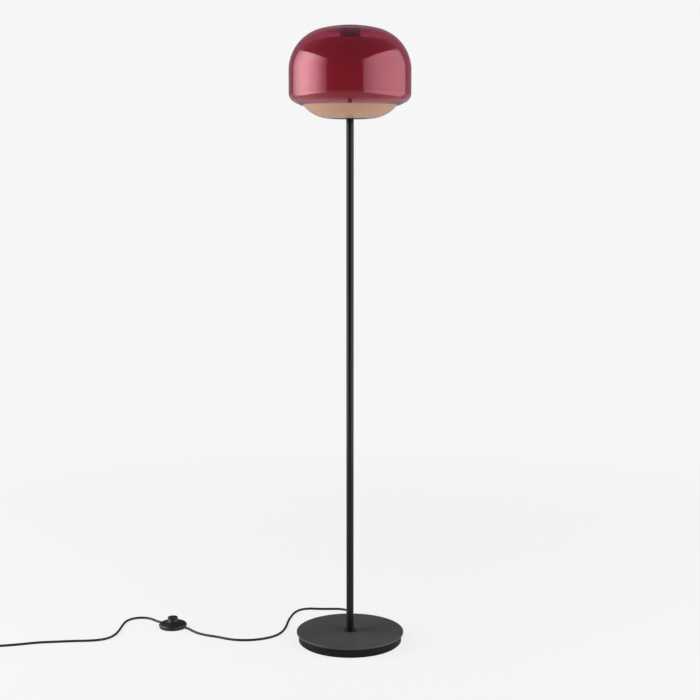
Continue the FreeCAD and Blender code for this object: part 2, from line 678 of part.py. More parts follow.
def make_terminal_screws():
    back = S.clamp_back - S.clamp_depth - S.terminal_gap
    place_y = (back - S.terminal_depth / 2).number
    top = (WEB_BOTTOM - S.terminal_height / 2).number
    half = S.terminal_screw_spread.number / 2
    radius = (S.screw_head_radius - S.hole_gap).number
    low = top - 2 * S.screw_head_height.number
    screws = [cylinder(radius, low, top, side, place_y) for side in (-half, half)]
    feature_of("terminal_screws", Part.makeCompound(screws))


def make_held_cables():
    """The cord from its bush to the terminal block, and the lead from there up to the lampholder."""
    height = S.cord_exit_height.number
    outer_end = (S.weight_radius + S.bush_flange_thickness + S.relief_length).number
    back = (S.clamp_back - S.clamp_depth - S.terminal_gap).number
    tail = Part.makeCylinder(S.cord_radius.number, outer_end - back, V(0, back, height), V(0, 1, 0))
    feature_of("cord_tail", tail)

    bend = S.lead_bend.number
    front = back - S.terminal_depth.number
    low = ROD_BOTTOM.number - 0.6 * bend
    middle = V(0, bend * (1 - math.sqrt(0.5)), low + bend * (1 - math.sqrt(0.5)))
    path = Part.Wire([
        Part.LineSegment(V(0, front, low), V(0, bend, low)).toShape(),
        Part.Arc(V(0, bend, low), middle, V(0, 0, low + bend)).toShape(),
        Part.LineSegment(V(0, 0, low + bend), V(0, 0, HOLDER_BOTTOM.number)).toShape()])
    ring = Part.Wire([Part.Circle(V(0, front, low), V(0, 1, 0), S.lead_radius.number).toShape()])
    feature_of("pole_lead", path.makePipeShell([ring], True, False))


# ---------------------------------------------------------------------------------------------------
# Pole
# ---------------------------------------------------------------------------------------------------
def make_pole():
    inner = S.pole_radius - S.pole_wall
    turned("pole_tube", rectangle(inner, PLATE_TOP, S.pole_radius, DISC_BOTTOM))
    turned("pole_foot_insert", rectangle(S.rod_radius, PLATE_TOP, inner, PLATE_TOP + S.insert_length))
    insert_bottom = DISC_BOTTOM - S.insert_length
    turned("pole_top_insert", rectangle(S.rod_radius, insert_bottom, inner, DISC_BOTTOM))
    turned("head_rod", rectangle(
        S.rod_bore, insert_bottom, S.rod_radius, HOLDER_BOTTOM + S.holder_wall))


# ---------------------------------------------------------------------------------------------------
# Lampholder and bulb
# ---------------------------------------------------------------------------------------------------
def make_closing_disc():
    hole = S.rod_radius + S.hole_gap
    body = turned("closing_disc", rectangle(hole, DISC_BOTTOM, S.disc_radius, STRAP_BOTTOM))
    sketch = sketch_on(body, "XY_Plane", "air_hole_outline", DISC_BOTTOM)
    draw_circle(sketch, 0, S.disc_vent_circle, S.disc_vent_radius)
    air_hole = pocket(body, sketch, "air_hole", S.disc_thickness, reverse=True)
    around(air_hole, body, "air_holes", 6)
    lip = S.disc_ring_lip
    outside = S.lamp_opening - S.seat_gap
    turned("disc_ring", [
        (S.disc_radius - lip, DISC_BOTTOM - lip / 2), (outside, DISC_BOTTOM - lip / 2),
        (outside, STRAP_BOTTOM + lip / 2), (S.disc_radius - lip, STRAP_BOTTOM + lip / 2),
        (S.disc_radius - lip, STRAP_BOTTOM), (S.disc_radius, STRAP_BOTTOM),
        (S.disc_radius, DISC_BOTTOM), (S.disc_radius - lip, DISC_BOTTOM)])


def make_bulb_strap():
    """One strip of steel bent into a closed frame round lampholder and bulb."""
    body = new_body("bulb_strap")
    sketch = sketch_on(body, "XZ_Plane", "bulb_strap_outline", -(S.strap_width / 2))
    for inset in (as_size(0), S.strap_thickness):
        side = S.strap_half_span - inset
        corner = S.strap_corner - inset
        flat = side - corner
        low = STRAP_BOTTOM + inset
        high = STRAP_TOP - inset
        draw_outline(sketch, [
            (-flat, low), (flat, low, corner, "left"),
            (side, low + corner), (side, high - corner, corner, "left"),
            (flat, high), (-flat, high, corner, "left"),
            (-side, high - corner), (-side, low + corner, corner, "left")])
    pad(body, sketch, "bulb_strap_strip", S.strap_width)
    for name, hole, height in (("rod_hole", S.rod_radius + S.hole_gap, STRAP_BOTTOM),
                               ("stud_hole", S.stud_radius + S.hole_gap, STRAP_TOP - S.strap_thickness)):
        outline = sketch_on(body, "XY_Plane", name + "_outline", height)
        draw_circle(outline, 0, 0, hole)
        pocket(body, outline, name, S.strap_thickness, reverse=True)


def make_lampholder():
    hexagon_nut("head_nut", S.nut_across_flats, HEAD_NUT_BOTTOM, S.head_nut_height, S.rod_radius)
    inner = S.holder_radius - S.holder_wall
    cap = turned("holder_cap", [
        (S.rod_radius, HOLDER_BOTTOM), (S.holder_radius, HOLDER_BOTTOM),
        (S.holder_radius, HOLDER_JOINT), (inner, HOLDER_JOINT),
        (inner, HOLDER_BOTTOM + S.holder_wall), (S.rod_radius, HOLDER_BOTTOM + S.holder_wall)])
    round_edges(cap, "holder_cap_rim", S.holder_cap_height / 3, [(S.holder_radius, HOLDER_BOTTOM)])
    skirt_top = HOLDER_JOINT + S.holder_skirt_height
    skirt_inner = S.thread_shell_radius + S.seat_gap
    turned("holder_skirt", [
        (inner, HOLDER_JOINT), (S.holder_radius, HOLDER_JOINT), (S.holder_radius, skirt_top),
        (skirt_inner, skirt_top), (skirt_inner, CORE_TOP + S.seat_gap), (inner, CORE_TOP + S.seat_gap)])
    turned("holder_core", [
        (S.rod_radius, CORE_BOTTOM), (inner - S.seat_gap, CORE_BOTTOM),
        (inner - S.seat_gap, CORE_TOP), (S.rod_radius, CORE_TOP)])
    turned("holder_contact", [
        (0, CORE_BOTTOM), (S.rod_radius, CORE_BOTTOM), (S.rod_radius, CORE_TOP),
        (S.rod_radius * 0.8, BULB_CAP_BOTTOM), (0, BULB_CAP_BOTTOM)])
    shell_inner = S.thread_shell_radius - S.thread_shell_wall
    turned("holder_thread_shell", rectangle(
        shell_inner, CORE_TOP, S.thread_shell_radius, CORE_TOP + S.thread_shell_height))


def make_bulb():
    shell_inner = S.thread_shell_radius - S.thread_shell_wall
    cap_radius = shell_inner - S.seat_gap / 2
    tip = S.bulb_cap_height / 4
    turned("bulb_screw_cap", [
        (0, BULB_CAP_BOTTOM), (cap_radius / 2, BULB_CAP_BOTTOM), (cap_radius, BULB_CAP_BOTTOM + tip),
        (cap_radius, BULB_GLASS_BOTTOM), (0, BULB_GLASS_BOTTOM)])
    top = BULB_GLASS_BOTTOM + S.bulb_height
    centre = top - S.bulb_radius
    neck = S.bulb_neck_radius
    shoulder = root(S.bulb_radius * S.bulb_radius - neck * neck) * 0.55
    cheek = root(S.bulb_radius * S.bulb_radius - shoulder * shoulder)
    inside = S.bulb_radius - S.bulb_wall
    inner_cheek = root(inside * inside - shoulder * shoulder)
    turned("bulb_glass", [
        (neck, BULB_GLASS_BOTTOM), (cheek, centre - shoulder, S.bulb_radius, "left"),
        (S.bulb_radius, centre, S.bulb_radius, "left"), (0, top), (0, top - S.bulb_wall, inside, "right"),
        (inside, centre, inside, "right"), (inner_cheek, centre - shoulder),
        (neck - S.bulb_wall, BULB_GLASS_BOTTOM)])


# ---------------------------------------------------------------------------------------------------
# Glasses, and what clamps them
# ---------------------------------------------------------------------------------------------------
def make_diffuser():
    """Opal glass: flat underside, a quarter-round bowl, a straight side and a rounded shoulder."""
    def half(inset):
        bowl = BOWL_RADIUS - inset
        arc = S.top_arc_radius - inset
        side = DIFFUSER_RADIUS - inset
        low = DIFFUSER_BOTTOM + inset
        high = DIFFUSER_TOP - inset
        return low, high, side, bowl, arc

    low, high, side, bowl, arc = half(as_size(0))
    outside = [
        (S.lamp_opening, low), (side - bowl, low, bowl, "left"), (side, low + bowl),
        (side, high - arc, arc, "left"), (side - arc, high), (S.glass_hole, high)]
    low, high, side, bowl, arc = half(S.diffuser_wall)
    inside = [
        (S.glass_hole, high), (side - arc, high, arc, "right"), (side, high - arc),
        (side, low + bowl, bowl, "right"), (side - bowl, low), (S.lamp_opening, low)]
    turned("diffuser", outside + inside)


def make_shade():
    """Red glass: a shallow crown, a wide shoulder, a short side and a lip turned in to the mouth."""
    crown_centre = S.lamp_height - S.crown_radius
    shoulder_x = S.shoulder_middle
    reach = S.crown_radius - SHOULDER_RADIUS
    shoulder_z = crown_centre + root(reach * reach - shoulder_x * shoulder_x)
    rim_x = S.shade_radius - S.rim_radius
    rim_z = RIM_CENTRE
    slant = root(S.lip_slope * S.lip_slope + 1)

    def wall(inset):
        crown = S.crown_radius - inset
        shoulder = SHOULDER_RADIUS - inset
        rim = S.rim_radius - inset
        tangent_x = shoulder_x * crown / reach
        tangent_z = crown_centre + (shoulder_z - crown_centre) * crown / reach
        lip_x = rim_x + rim * S.lip_slope / slant
        lip_z = rim_z - rim / slant
        mouth_z = lip_z - (lip_x - MOUTH_RADIUS) * S.lip_slope
        return crown, shoulder, rim, tangent_x, tangent_z, lip_x, lip_z, mouth_z

    recess = S.cap_radius + S.seat_gap
    crown, shoulder, rim, tangent_x, tangent_z, lip_x, lip_z, mouth_z = wall(as_size(0))
    recess_z = crown_centre + root(crown * crown - recess * recess)
    outside = [
        (MOUTH_RADIUS, mouth_z), (lip_x, lip_z, rim, "left"), (S.shade_radius, rim_z),
        (S.shade_radius, shoulder_z, shoulder, "left"), (tangent_x, tangent_z, crown, "left"),
        (recess, recess_z), (recess, SHADE_SEAT), (S.glass_hole, SHADE_SEAT)]
    crown, shoulder, rim, tangent_x, tangent_z, lip_x, lip_z, mouth_z = wall(S.shade_wall)
    land_rise = SHADE_LAND - crown_centre
    land_x = root(crown * crown - land_rise * land_rise)
    side = S.shade_radius - S.shade_wall
    inside = [
        (S.glass_hole, SHADE_LAND), (land_x, SHADE_LAND, crown, "right"),
        (tangent_x, tangent_z, shoulder, "right"), (side, shoulder_z), (side, rim_z, rim, "right"),
        (lip_x, lip_z), (MOUTH_RADIUS, mouth_z)]
    turned("shade", outside + inside)


def make_glass_clamp():
    """What holds the two glasses on the strap: support plate, rubbers, spacer, seal, cap and stud."""
    hole = S.stud_radius + S.hole_gap
    turned("support_plate", rectangle(hole, STRAP_TOP, S.spacer_radius, SUPPORT_TOP))
    spacer_inner = S.spacer_radius - S.spacer_wall
    spacer_floor = SPACER_BOTTOM + S.spacer_wall
    turned("glass_spacer", [
        (hole, SPACER_BOTTOM), (S.spacer_radius, SPACER_BOTTOM), (S.spacer_radius, SPACER_TOP),
        (spacer_inner, SPACER_TOP), (spacer_inner, spacer_floor), (hole, spacer_floor)])
    rubbers = []
    for bottom in (SUPPORT_TOP, DIFFUSER_TOP, SPACER_TOP):
        low = bottom.number
        high = (bottom + S.rubber_thickness).number
        ring = cylinder(S.spacer_radius.number, low, high).cut(cylinder(S.glass_hole.number, low, high))
        rubbers.append(ring)
    feature_of("rubber_washers", Part.makeCompound(rubbers))
    turned("cap_seal", rectangle(S.glass_hole, SHADE_SEAT, S.cap_radius, CAP_BOTTOM))
    crown_centre = S.lamp_height - S.crown_radius
    edge_z = crown_centre + root(S.crown_radius * S.crown_radius - S.cap_radius * S.cap_radius)
    thread_top = CAP_BOTTOM + S.cap_thread_depth
    turned("top_cap", [
        (S.stud_radius, CAP_BOTTOM), (S.cap_radius, CAP_BOTTOM),
        (S.cap_radius, edge_z, S.crown_radius, "left"), (0, S.lamp_height),
        (0, thread_top), (S.stud_radius, thread_top)])
    turned("cap_stud", rectangle(0, STUD_NUT_BOTTOM, S.stud_radius, thread_top))
    hexagon_nut("stud_nut", S.stud_nut_flats, STUD_NUT_BOTTOM, S.stud_nut_height, S.stud_radius)


# ---------------------------------------------------------------------------------------------------
# Foot switch, drawn round its own axis with X along the cord, then put in its place
# ---------------------------------------------------------------------------------------------------
def at_switch(piece):
    placed(piece, x=S.switch_x, y=S.switch_y)
    piece.Placement.Rotation = FreeCAD.Rotation(UP, S.switch_turn.number)
    piece.setExpression("Placement.Rotation.Angle", S.switch_turn.formula)
    return piece


def make_switch_base():
    body = turned("switch_base", rectangle(0, S.switch_foot_height, S.switch_base_radius, SWITCH_FLOOR))
    sketch = sketch_on(body, "XY_Plane", "switch_screw_hole_outline", S.switch_foot_height)
    draw_circle(sketch, 0, S.switch_fixing_circle, S.screw_radius)
    hole = pocket(body, sketch, "switch_screw_hole", S.switch_base_thickness, reverse=True)
    around(hole, body, "switch_screw_holes", 3)
    sink = sketch_on(body, "XY_Plane", "switch_screw_sink_outline", S.switch_foot_height)
    draw_circle(sink, 0, S.switch_fixing_circle, S.screw_head_radius)
    sink_pocket = pocket(body, sink, "switch_screw_sink", S.screw_head_height, reverse=True)
    around(sink_pocket, body, "switch_screw_sinks", 3)
    at_switch(body)


def make_switch_feet():
    places = on_circle(S.switch_fixing_circle.number, 3, 30)
    feet = [cylinder(S.switch_foot_radius.number, 0, S.switch_foot_height.number, place.x, place.y)
            for place in places]
    at_switch(feature_of("switch_feet", Part.makeCompound(feet)))


def make_switch_base_screws():
    places = on_circle(S.switch_fixing_circle.number, 3, 90)
    length = (S.switch_widest_height - S.switch_foot_height).number
    screws = [small_screw(place, S.switch_foot_height.number, length) for place in places]
    at_switch(feature_of("switch_base_screws", Part.makeCompound(screws)))


def make_switch_cover():
    wall = S.switch_wall
    hole = S.button_radius + S.slip_gap
    roof = S.switch_neck_height - wall
    body = turned("switch_cover", [
        (S.switch_base_radius + wall / 2, SWITCH_FLOOR),
        (S.switch_radius, S.switch_widest_height, S.switch_side_arc, "left"),
        (S.switch_shoulder_radius, S.switch_shoulder_height), (S.switch_neck_radius, S.switch_neck_height),
        (hole + wall / 2, S.switch_neck_top), (hole, S.switch_neck_top), (hole, roof),
        (S.switch_neck_radius, roof), (S.switch_shoulder_radius - wall / 2, S.switch_shoulder_height - wall),
        (S.switch_radius - wall, S.switch_widest_height), (S.switch_base_radius - wall / 2, SWITCH_FLOOR)])
    boss = sketch_on(body, "XY_Plane", "switch_boss_outline", SWITCH_FLOOR)
    draw_circle(boss, 0, S.switch_fixing_circle, S.switch_boss_radius)
    boss_pad = pad(body, boss, "switch_boss", S.switch_shoulder_height - SWITCH_FLOOR)
    around(boss_pad, body, "switch_bosses", 3)
    pilot = sketch_on(body, "XY_Plane", "switch_pilot_outline", SWITCH_FLOOR)
    draw_circle(pilot, 0, S.switch_fixing_circle, S.screw_radius)
    pilot_depth = S.switch_widest_height - S.switch_foot_height
    pilot_pocket = pocket(body, pilot, "switch_pilot", pilot_depth, reverse=True)
    around(pilot_pocket, body, "switch_pilots", 3)
    notch = sketch_on(body, "YZ_Plane", "switch_cord_notch_outline", -S.switch_radius)
    arc_radius = CORD_HOLE * 1.001
    draw_outline(notch, [
        (-CORD_HOLE, SWITCH_FLOOR - S.slip_gap), (CORD_HOLE, SWITCH_FLOOR - S.slip_gap),
        (CORD_HOLE, S.switch_cord_height, arc_radius, "left"),
        (0, S.switch_cord_height + CORD_HOLE, arc_radius, "left"), (-CORD_HOLE, S.switch_cord_height)])
    pocket(body, notch, "switch_cord_notches", S.switch_radius * 2, reverse=True)
    at_switch(body)


def make_switch_button():
    recess = S.spring_radius + S.spring_wire * 2 + S.seat_gap
    body = turned("switch_button", [
        (recess, BUTTON_FLANGE_BOTTOM), (S.button_flange, BUTTON_FLANGE_BOTTOM),
        (S.button_flange, BUTTON_FLANGE_TOP), (S.button_radius, BUTTON_FLANGE_TOP),
        (S.button_radius, S.button_height), (0, S.button_height), (0, SPRING_TOP), (recess, SPRING_TOP)])
    round_edges(body, "switch_button_rim", S.button_round, [(S.button_radius, S.button_height)])
    at_switch(body)


def make_switch_module():
    body = new_body("switch_module")
    sketch = sketch_on(body, "XY_Plane", "switch_module_outline", SWITCH_FLOOR)
    half_length = S.module_length / 2
    half_width = S.module_width / 2
    draw_outline(sketch, rectangle(-half_length, -half_width, half_length, half_width))
    pad(body, sketch, "switch_module_case", S.module_height)
    post = sketch_on(body, "XY_Plane", "switch_post_outline", MODULE_TOP)
    draw_circle(post, 0, 0, S.guide_post_radius)
    pad(body, post, "switch_post", S.guide_post_height)
    at_switch(body)
    low = MODULE_TOP.number
    high = low + S.contact_thickness.number
    inner = S.spring_radius.number * 2
    outer = half_length.number
    blades = [box(side * inner if side > 0 else -outer, -3, low, outer if side > 0 else -inner, 3, high)
              for side in (1, -1)]
    at_switch(feature_of("switch_contacts", Part.makeCompound(blades)))


def make_switch_spring():
    """An open helix with its two ends left where the last quarter turns stop."""
    low = (MODULE_TOP + S.spring_wire).number
    high = (SPRING_TOP - S.spring_wire).number
    radius = S.spring_radius.number

    def spring_point(turns):
        angle = 2 * math.pi * turns
        rise = (high - low) * turns / S.spring_turns.number
        return V(radius * math.cos(angle), radius * math.sin(angle), low + rise)

    path = Part.Wire(winding(spring_point, S.spring_turns.number))
    at_switch(feature_of("switch_spring", tube(path, S.spring_wire.number, sides=6)))


def make_switch_cord_hold():
    """The two cord ends inside the switch, and a screwed clamp over each."""
    height = S.switch_cord_height.number
    inner = S.switch_clamp_inner.number
    half_length = S.module_length.number / 2
    reach = S.switch_radius.number
    low = SWITCH_FLOOR.number
    high = low + S.switch_clamp_height.number
    half_width = S.switch_clamp_width.number / 2
    tails, clamps, screws = [], [], []
    for side in (-1, 1):
        start = V(side * half_length, 0, height)
        tails.append(Part.makeCylinder(S.cord_radius.number, reach - half_length, start, V(side, 0, 0)))
        near, far = sorted((side * inner, side * (inner + S.switch_clamp_length.number)))
        clamp = box(near, -half_width, low, far, half_width, high)
        tunnel = Part.makeCylinder(CORD_HOLE.number, reach, V(0, 0, height), V(side, 0, 0))
        clamp = clamp.cut(tunnel)
        for across in (-1, 1):
            place = V((near + far) / 2, across * (half_width + CORD_HOLE.number) / 2, 0)
            screw = small_screw(place, high, high - low - S.screw_head_height.number, up=-1)
            clamp = clamp.cut(screw)
            screws.append(screw)
        clamps.append(clamp)
    at_switch(feature_of("switch_cord_ends", Part.makeCompound(tails)))
    at_switch(feature_of("switch_cord_clamps", Part.makeCompound(clamps)))
    at_switch(feature_of("switch_clamp_screws", Part.makeCompound(screws)))


# ---------------------------------------------------------------------------------------------------
# Cord on the floor
# ---------------------------------------------------------------------------------------------------
FLOOR = S.cord_lie.number
# From the rear of the base round to the foot switch, chosen by hand along the cord in the photograph.
ROUTE_TO_SWITCH = [
    (0, 166, 8.5), (-1, 183, 6.4), (-5, 203, FLOOR), (-17, 222, FLOOR), (-36, 232, FLOOR), (-59, 234, FLOOR),
    (-83, 238, FLOOR), (-108, 244, FLOOR), (-131, 236, FLOOR), (-146, 212, FLOOR), (-154, 179, FLOOR),
    (-160, 142, FLOOR), (-163, 96, FLOOR), (-171, 55, FLOOR), (-188, 23, FLOOR), (-218, 2, FLOOR),
    (-256, -8, FLOOR), (-296, -3, FLOOR), (-333, 19, FLOOR), (-356, 28, FLOOR), (-378, 41, FLOOR),
    (-397, 57, 3.9)]
# From the foot switch to the stored coil.
ROUTE_TO_COIL = [
    (-506, 141, 4.8), (-516.6, 158, FLOOR), (-534, 167.6, FLOOR), (-554, 166.9, FLOOR),
    (-570.8, 156, FLOOR), (-581, 136.5, FLOOR), (-584, 106, FLOOR),
    (-586, 68, FLOOR), (-591, 30, FLOOR), (-608, 2, FLOOR), (-640, -10, FLOOR),
    (-684, -12, FLOOR), (-730, -18, FLOOR), (-773, -23, FLOOR), (-814, -37, FLOOR), (-853, -47, 3.2)]
GLAND_RUN = 13
LAST_RUN = 28
COIL_ENTRY = V(-915, -64, 0)
COIL_HEADING = V(-0.955, -0.296, 0).normalize()
COIL_CENTRE = COIL_ENTRY + V(-COIL_HEADING.y, COIL_HEADING.x, 0) * S.coil_outer.number
COIL_START_ANGLE = math.atan2(COIL_ENTRY.y - COIL_CENTRE.y, COIL_ENTRY.x - COIL_CENTRE.x)


def bend_radii(points):
    """The arc at each inner point: 0.45 of the shorter run over the tangent of half the turn."""
    radii = []
    for before, here, after in zip(points, points[1:], points[2:]):
        run_in = here - before
        run_out = after - here
        half_turn = run_in.getAngle(run_out) / 2
        radii.append(0.45 * min(run_in.Length, run_out.Length) / math.tan(half_turn))
    return radii


def smooth_path(points):
    """Straight runs joined by tangent arcs."""
    edges = []
    start = points[0]
    for here, after, radius in zip(points[1:], points[2:], bend_radii(points)):
        run_in = (here - start).normalize()
        run_out = (after - here).normalize()
        half_turn = run_in.getAngle(run_out) / 2
        cut = radius * math.tan(half_turn)
        arc_start = here - run_in * cut
        arc_end = here + run_out * cut
        inward = (run_out - run_in).normalize()
        middle = here + inward * (radius / math.cos(half_turn) - radius)
        edges.append(Part.LineSegment(start, arc_start).toShape())
        edges.append(Part.Arc(arc_start, middle, arc_end).toShape())
        start = arc_end
    edges.append(Part.LineSegment(start, points[-1]).toShape())
    return Part.Wire(edges)


def on_switch_axis(side, outside=0.0):
    """The middle of the cord where it enters the switch cover (side -1: towards the base), or outside it."""
    turn_angle = math.radians(S.switch_turn.number)
    reach = (S.switch_radius.number + outside) * side
    return V(S.switch_x.number + reach * math.cos(turn_angle),
             S.switch_y.number + reach * math.sin(turn_angle), S.switch_cord_height.number)


def coil_pitch():
    return 2 * S.cord_radius.number + S.coil_gap.number


def coil_point(turns):
    """The cord's axis after so many turns: in on the first layer, up, out on the second, and off it."""
    layer = COIL_TURNS_PER_LAYER
    climb = smooth_step((turns - layer + 0.25) / 0.5)
    leave = max((turns - 2 * layer) / LAST_TURN, 0.0)
    from_reversal = abs(turns - layer)
    inward = layer - from_reversal
    if from_reversal < 0.25:
        inward = layer - (0.125 + 2 * from_reversal * from_reversal)
    radius = S.coil_outer.number - coil_pitch() * inward + S.unwind.number * leave * leave
    angle = COIL_START_ANGLE + 2 * math.pi * turns
    low = FLOOR + S.coil_lift.number
    drop = low + coil_pitch() - S.plug_lie.number
    height = low + coil_pitch() * climb - drop * smooth_step(1.25 * leave - 0.25)
    return COIL_CENTRE + V(radius * math.cos(angle), radius * math.sin(angle), height)


def smooth_step(share):
    share = min(max(share, 0.0), 1.0)
    return share * share * (3 - 2 * share)


def coil_path():
    """The turns, with a straight end of one cord diameter before and after them."""
    straight = 2 * S.cord_radius.number
    edges = winding(coil_point, 2 * COIL_TURNS_PER_LAYER + LAST_TURN)
    first, last = edges[0], edges[-1]
    start = first.valueAt(first.FirstParameter)
    end = last.valueAt(last.LastParameter)
    lead_in = Part.LineSegment(start - first.tangentAt(first.FirstParameter) * straight, start)
    lead_out = Part.LineSegment(end, end + last.tangentAt(last.LastParameter) * straight)
    return Part.Wire([lead_in.toShape()] + edges + [lead_out.toShape()])


def least_gap_to_itself(path):
    """The nearest that the cord's skin comes to itself, more than half a turn further on."""
    points = path.discretize(Distance=3.0)
    apart = int(math.pi * S.coil_outer.number / 3.0 * 0.5)
    nearest = min((first - second).Length for index, first in enumerate(points)
                  for second in points[index + apart:])
    return nearest - 2 * S.cord_radius.number


def make_floor_cord():
    bush_tip = (S.weight_radius + S.bush_flange_thickness + S.relief_length).number
    to_switch = [V(0, bush_tip, S.cord_exit_height.number)] + [V(*point) for point in ROUTE_TO_SWITCH]
    to_switch += [on_switch_axis(-1, GLAND_RUN), on_switch_axis(-1)]
    coil = coil_path()
    coil_start = coil.Edges[0].valueAt(coil.Edges[0].FirstParameter)
    lead_in = coil.Edges[0].tangentAt(coil.Edges[0].FirstParameter)
    to_coil = [on_switch_axis(1), on_switch_axis(1, GLAND_RUN)] + [V(*point) for point in ROUTE_TO_COIL]
    to_coil += [coil_start - lead_in * LAST_RUN, coil_start]
    for name, points in (("cord_to_switch", to_switch), ("cord_to_coil", to_coil)):
        print(name, "radii", [round(radius) for radius in bend_radii(points)])
        print("  runs", [round((after - here).Length) for here, after in zip(points, points[1:])])
        feature_of(name, tube(smooth_path(points), S.cord_radius.number))
    print("cord_coil, least gap to itself %.2f" % least_gap_to_itself(coil))
    feature_of("cord_coil", tube(coil, S.cord_radius.number, sides=8))
    return coil.Edges[-1]


def make_coil_tie():
    """A strap once round the four turns, on the side away from the plug."""
    angle = math.degrees(COIL_START_ANGLE) + 180
    reach = S.cord_radius.number + S.seat_gap.number / 2
    skin = S.tie_thickness.number
    half = S.tie_width.number / 2
    far = S.coil_outer.number - 0.5 * coil_pitch() + reach
    bend_in = far - 2 * reach - (COIL_TURNS_PER_LAYER - 1) * coil_pitch()
    near = math.sqrt(bend_in * bend_in - half * half)
    low = FLOOR + S.coil_lift.number - reach
    high = FLOOR + S.coil_lift.number + coil_pitch() + reach
    strap = box(near - skin, -half, low - skin, far + skin, half, high + skin)
    strap = strap.cut(box(near, -half, low, far, half, high))
    strap.rotate(V(0, 0, 0), UP, angle)
    strap.translate(COIL_CENTRE)
    feature_of("coil_tie", strap)


# ---------------------------------------------------------------------------------------------------
# Plug, drawn along Y from the end of its strain relief to the tips of its pins
# ---------------------------------------------------------------------------------------------------
def at_plug(piece, cord_end):
    end = cord_end.valueAt(cord_end.LastParameter)
    heading = cord_end.tangentAt(cord_end.LastParameter)
    angle = math.degrees(math.atan2(heading.y, heading.x)) - 90
    piece.Placement = FreeCAD.Placement(end, FreeCAD.Rotation(UP, angle))


def make_plug_relief(cord_end):
    """A tapered sleeve with ring grooves."""
    taper = (S.relief_root - S.relief_tip) / S.plug_relief_length
    groove = S.plug_relief_groove
    corners = [(0, 0), (S.relief_tip, 0)]
    for index in range(4):
        start = S.plug_relief_rib * (2 * index + 1)
        end = S.plug_relief_rib * (2 * index + 2)
        top_in = S.relief_tip + taper * start
        top_out = S.relief_tip + taper * end
        corners += [(top_in, start), (top_in - groove, start), (top_out - groove, end), (top_out, end)]
    corners += [(S.relief_root, S.plug_relief_length), (0, S.plug_relief_length)]
    at_plug(turned("plug_relief", corners, role="XY_Plane"), cord_end)


def make_plug_body(cord_end):
    """Four rounded outlines from the narrow rear to the flat front, joined by flat and conical faces."""
    rear = S.plug_relief_length
    front = rear + S.plug_length
    waist = (S.plug_waist_width, S.plug_waist_thickness)
    full = (S.plug_width, S.plug_thickness)
    chest = ((waist[0] + full[0]) / 2 + 2, (waist[1] + full[1]) / 2 + 0.5)
    body = new_body("plug_body")
    sections = []
    for index, (place, size) in enumerate((
            (rear, waist), (rear + S.plug_shoulder / 2, chest),
            (rear + S.plug_shoulder, full), (front, full))):
        sketch = sketch_on(body, "XZ_Plane", f"plug_section_{index}", -place)
        half_width, half_height = size[0] / 2, size[1] / 2
        corner = S.plug_round
        flat, rise = half_width - corner, half_height - corner
        draw_outline(sketch, [
            (-flat, -half_height), (flat, -half_height, corner, "left"), (half_width, -rise),
            (half_width, rise, corner, "left"), (flat, half_height), (-flat, half_height, corner, "left"),
            (-half_width, rise), (-half_width, -rise, corner, "left")])
        sections.append(sketch)
    loft = body.newObject("PartDesign::AdditiveLoft", "plug_shell")
    loft.Profile = sections[0]
    loft.Sections = sections[1:]
    loft.Ruled = True
    at_plug(body, cord_end)


def make_plug_pins(cord_end):
    start = (S.plug_relief_length + S.plug_length).number
    radius = S.pin_radius.number
    nose = radius / 2
    straight = S.pin_length.number - nose
    pins = []
    for side in (-1, 1):
        foot = V(side * S.pin_spacing.number / 2, start, 0)
        pin = Part.makeCylinder(radius, straight, foot, V(0, 1, 0))
        tip = Part.makeCone(radius, nose, nose, foot + V(0, straight, 0), V(0, 1, 0))
        pins.append(pin.fuse(tip).removeSplitter())
    at_plug(feature_of("plug_pins", Part.makeCompound(pins)), cord_end)


make_base_plate()
make_base_weight()
make_base_cover()
make_base_cover_screws()
make_base_fixings()
make_pole_collar()
make_cord_bush()
make_cord_clamp()
make_cord_clamp_screws()
make_terminal_block()
make_terminal_screws()
make_held_cables()
make_pole()
make_closing_disc()
make_bulb_strap()
make_lampholder()
make_bulb()
make_diffuser()
make_shade()
make_glass_clamp()
make_switch_base()
make_switch_feet()
make_switch_base_screws()
make_switch_cover()
make_switch_button()
make_switch_module()
make_switch_spring()
make_switch_cord_hold()
plug_end = make_floor_cord()
make_coil_tie()
make_plug_relief(plug_end)
make_plug_body(plug_end)
make_plug_pins(plug_end)

# ---------------------------------------------------------------------------------------------------
# Check and write every piece
# ---------------------------------------------------------------------------------------------------
doc.recompute()
for item in doc.Objects:
    if "Invalid" in item.State or "Error" in item.State:
        raise RuntimeError(f"{item.Label} failed: {item.State}")
pieces = [item for item in doc.Objects if item.TypeId in ("PartDesign::Body", "Part::Feature")]
for piece in pieces:
    if piece.Shape.isNull() or not piece.Shape.isValid() or not piece.Shape.Solids:
        raise RuntimeError(f"{piece.Label} has no valid solid")
os.makedirs("parts", exist_ok=True)
for piece in pieces:
    piece.Shape.exportStep(f"parts/{piece.Label}.step")
print(len(pieces), "pieces written")
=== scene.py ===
# %% [markdown]
# # A mushroom floor lamp in red and opal glass
# This lesson dresses a finished CAD model: a heavy round base, a slim black pole, an opal glass
# diffuser and a clear red shade over it, with a foot switch on the cord. The CAD model says where
# every piece is. Blender adds smooth surfaces, soft cord and the finishes that make glass and
# lacquer look real. All lengths are metres, +Z is up and the pole stands on the Z axis.

# %% Load the frame
import json
import math

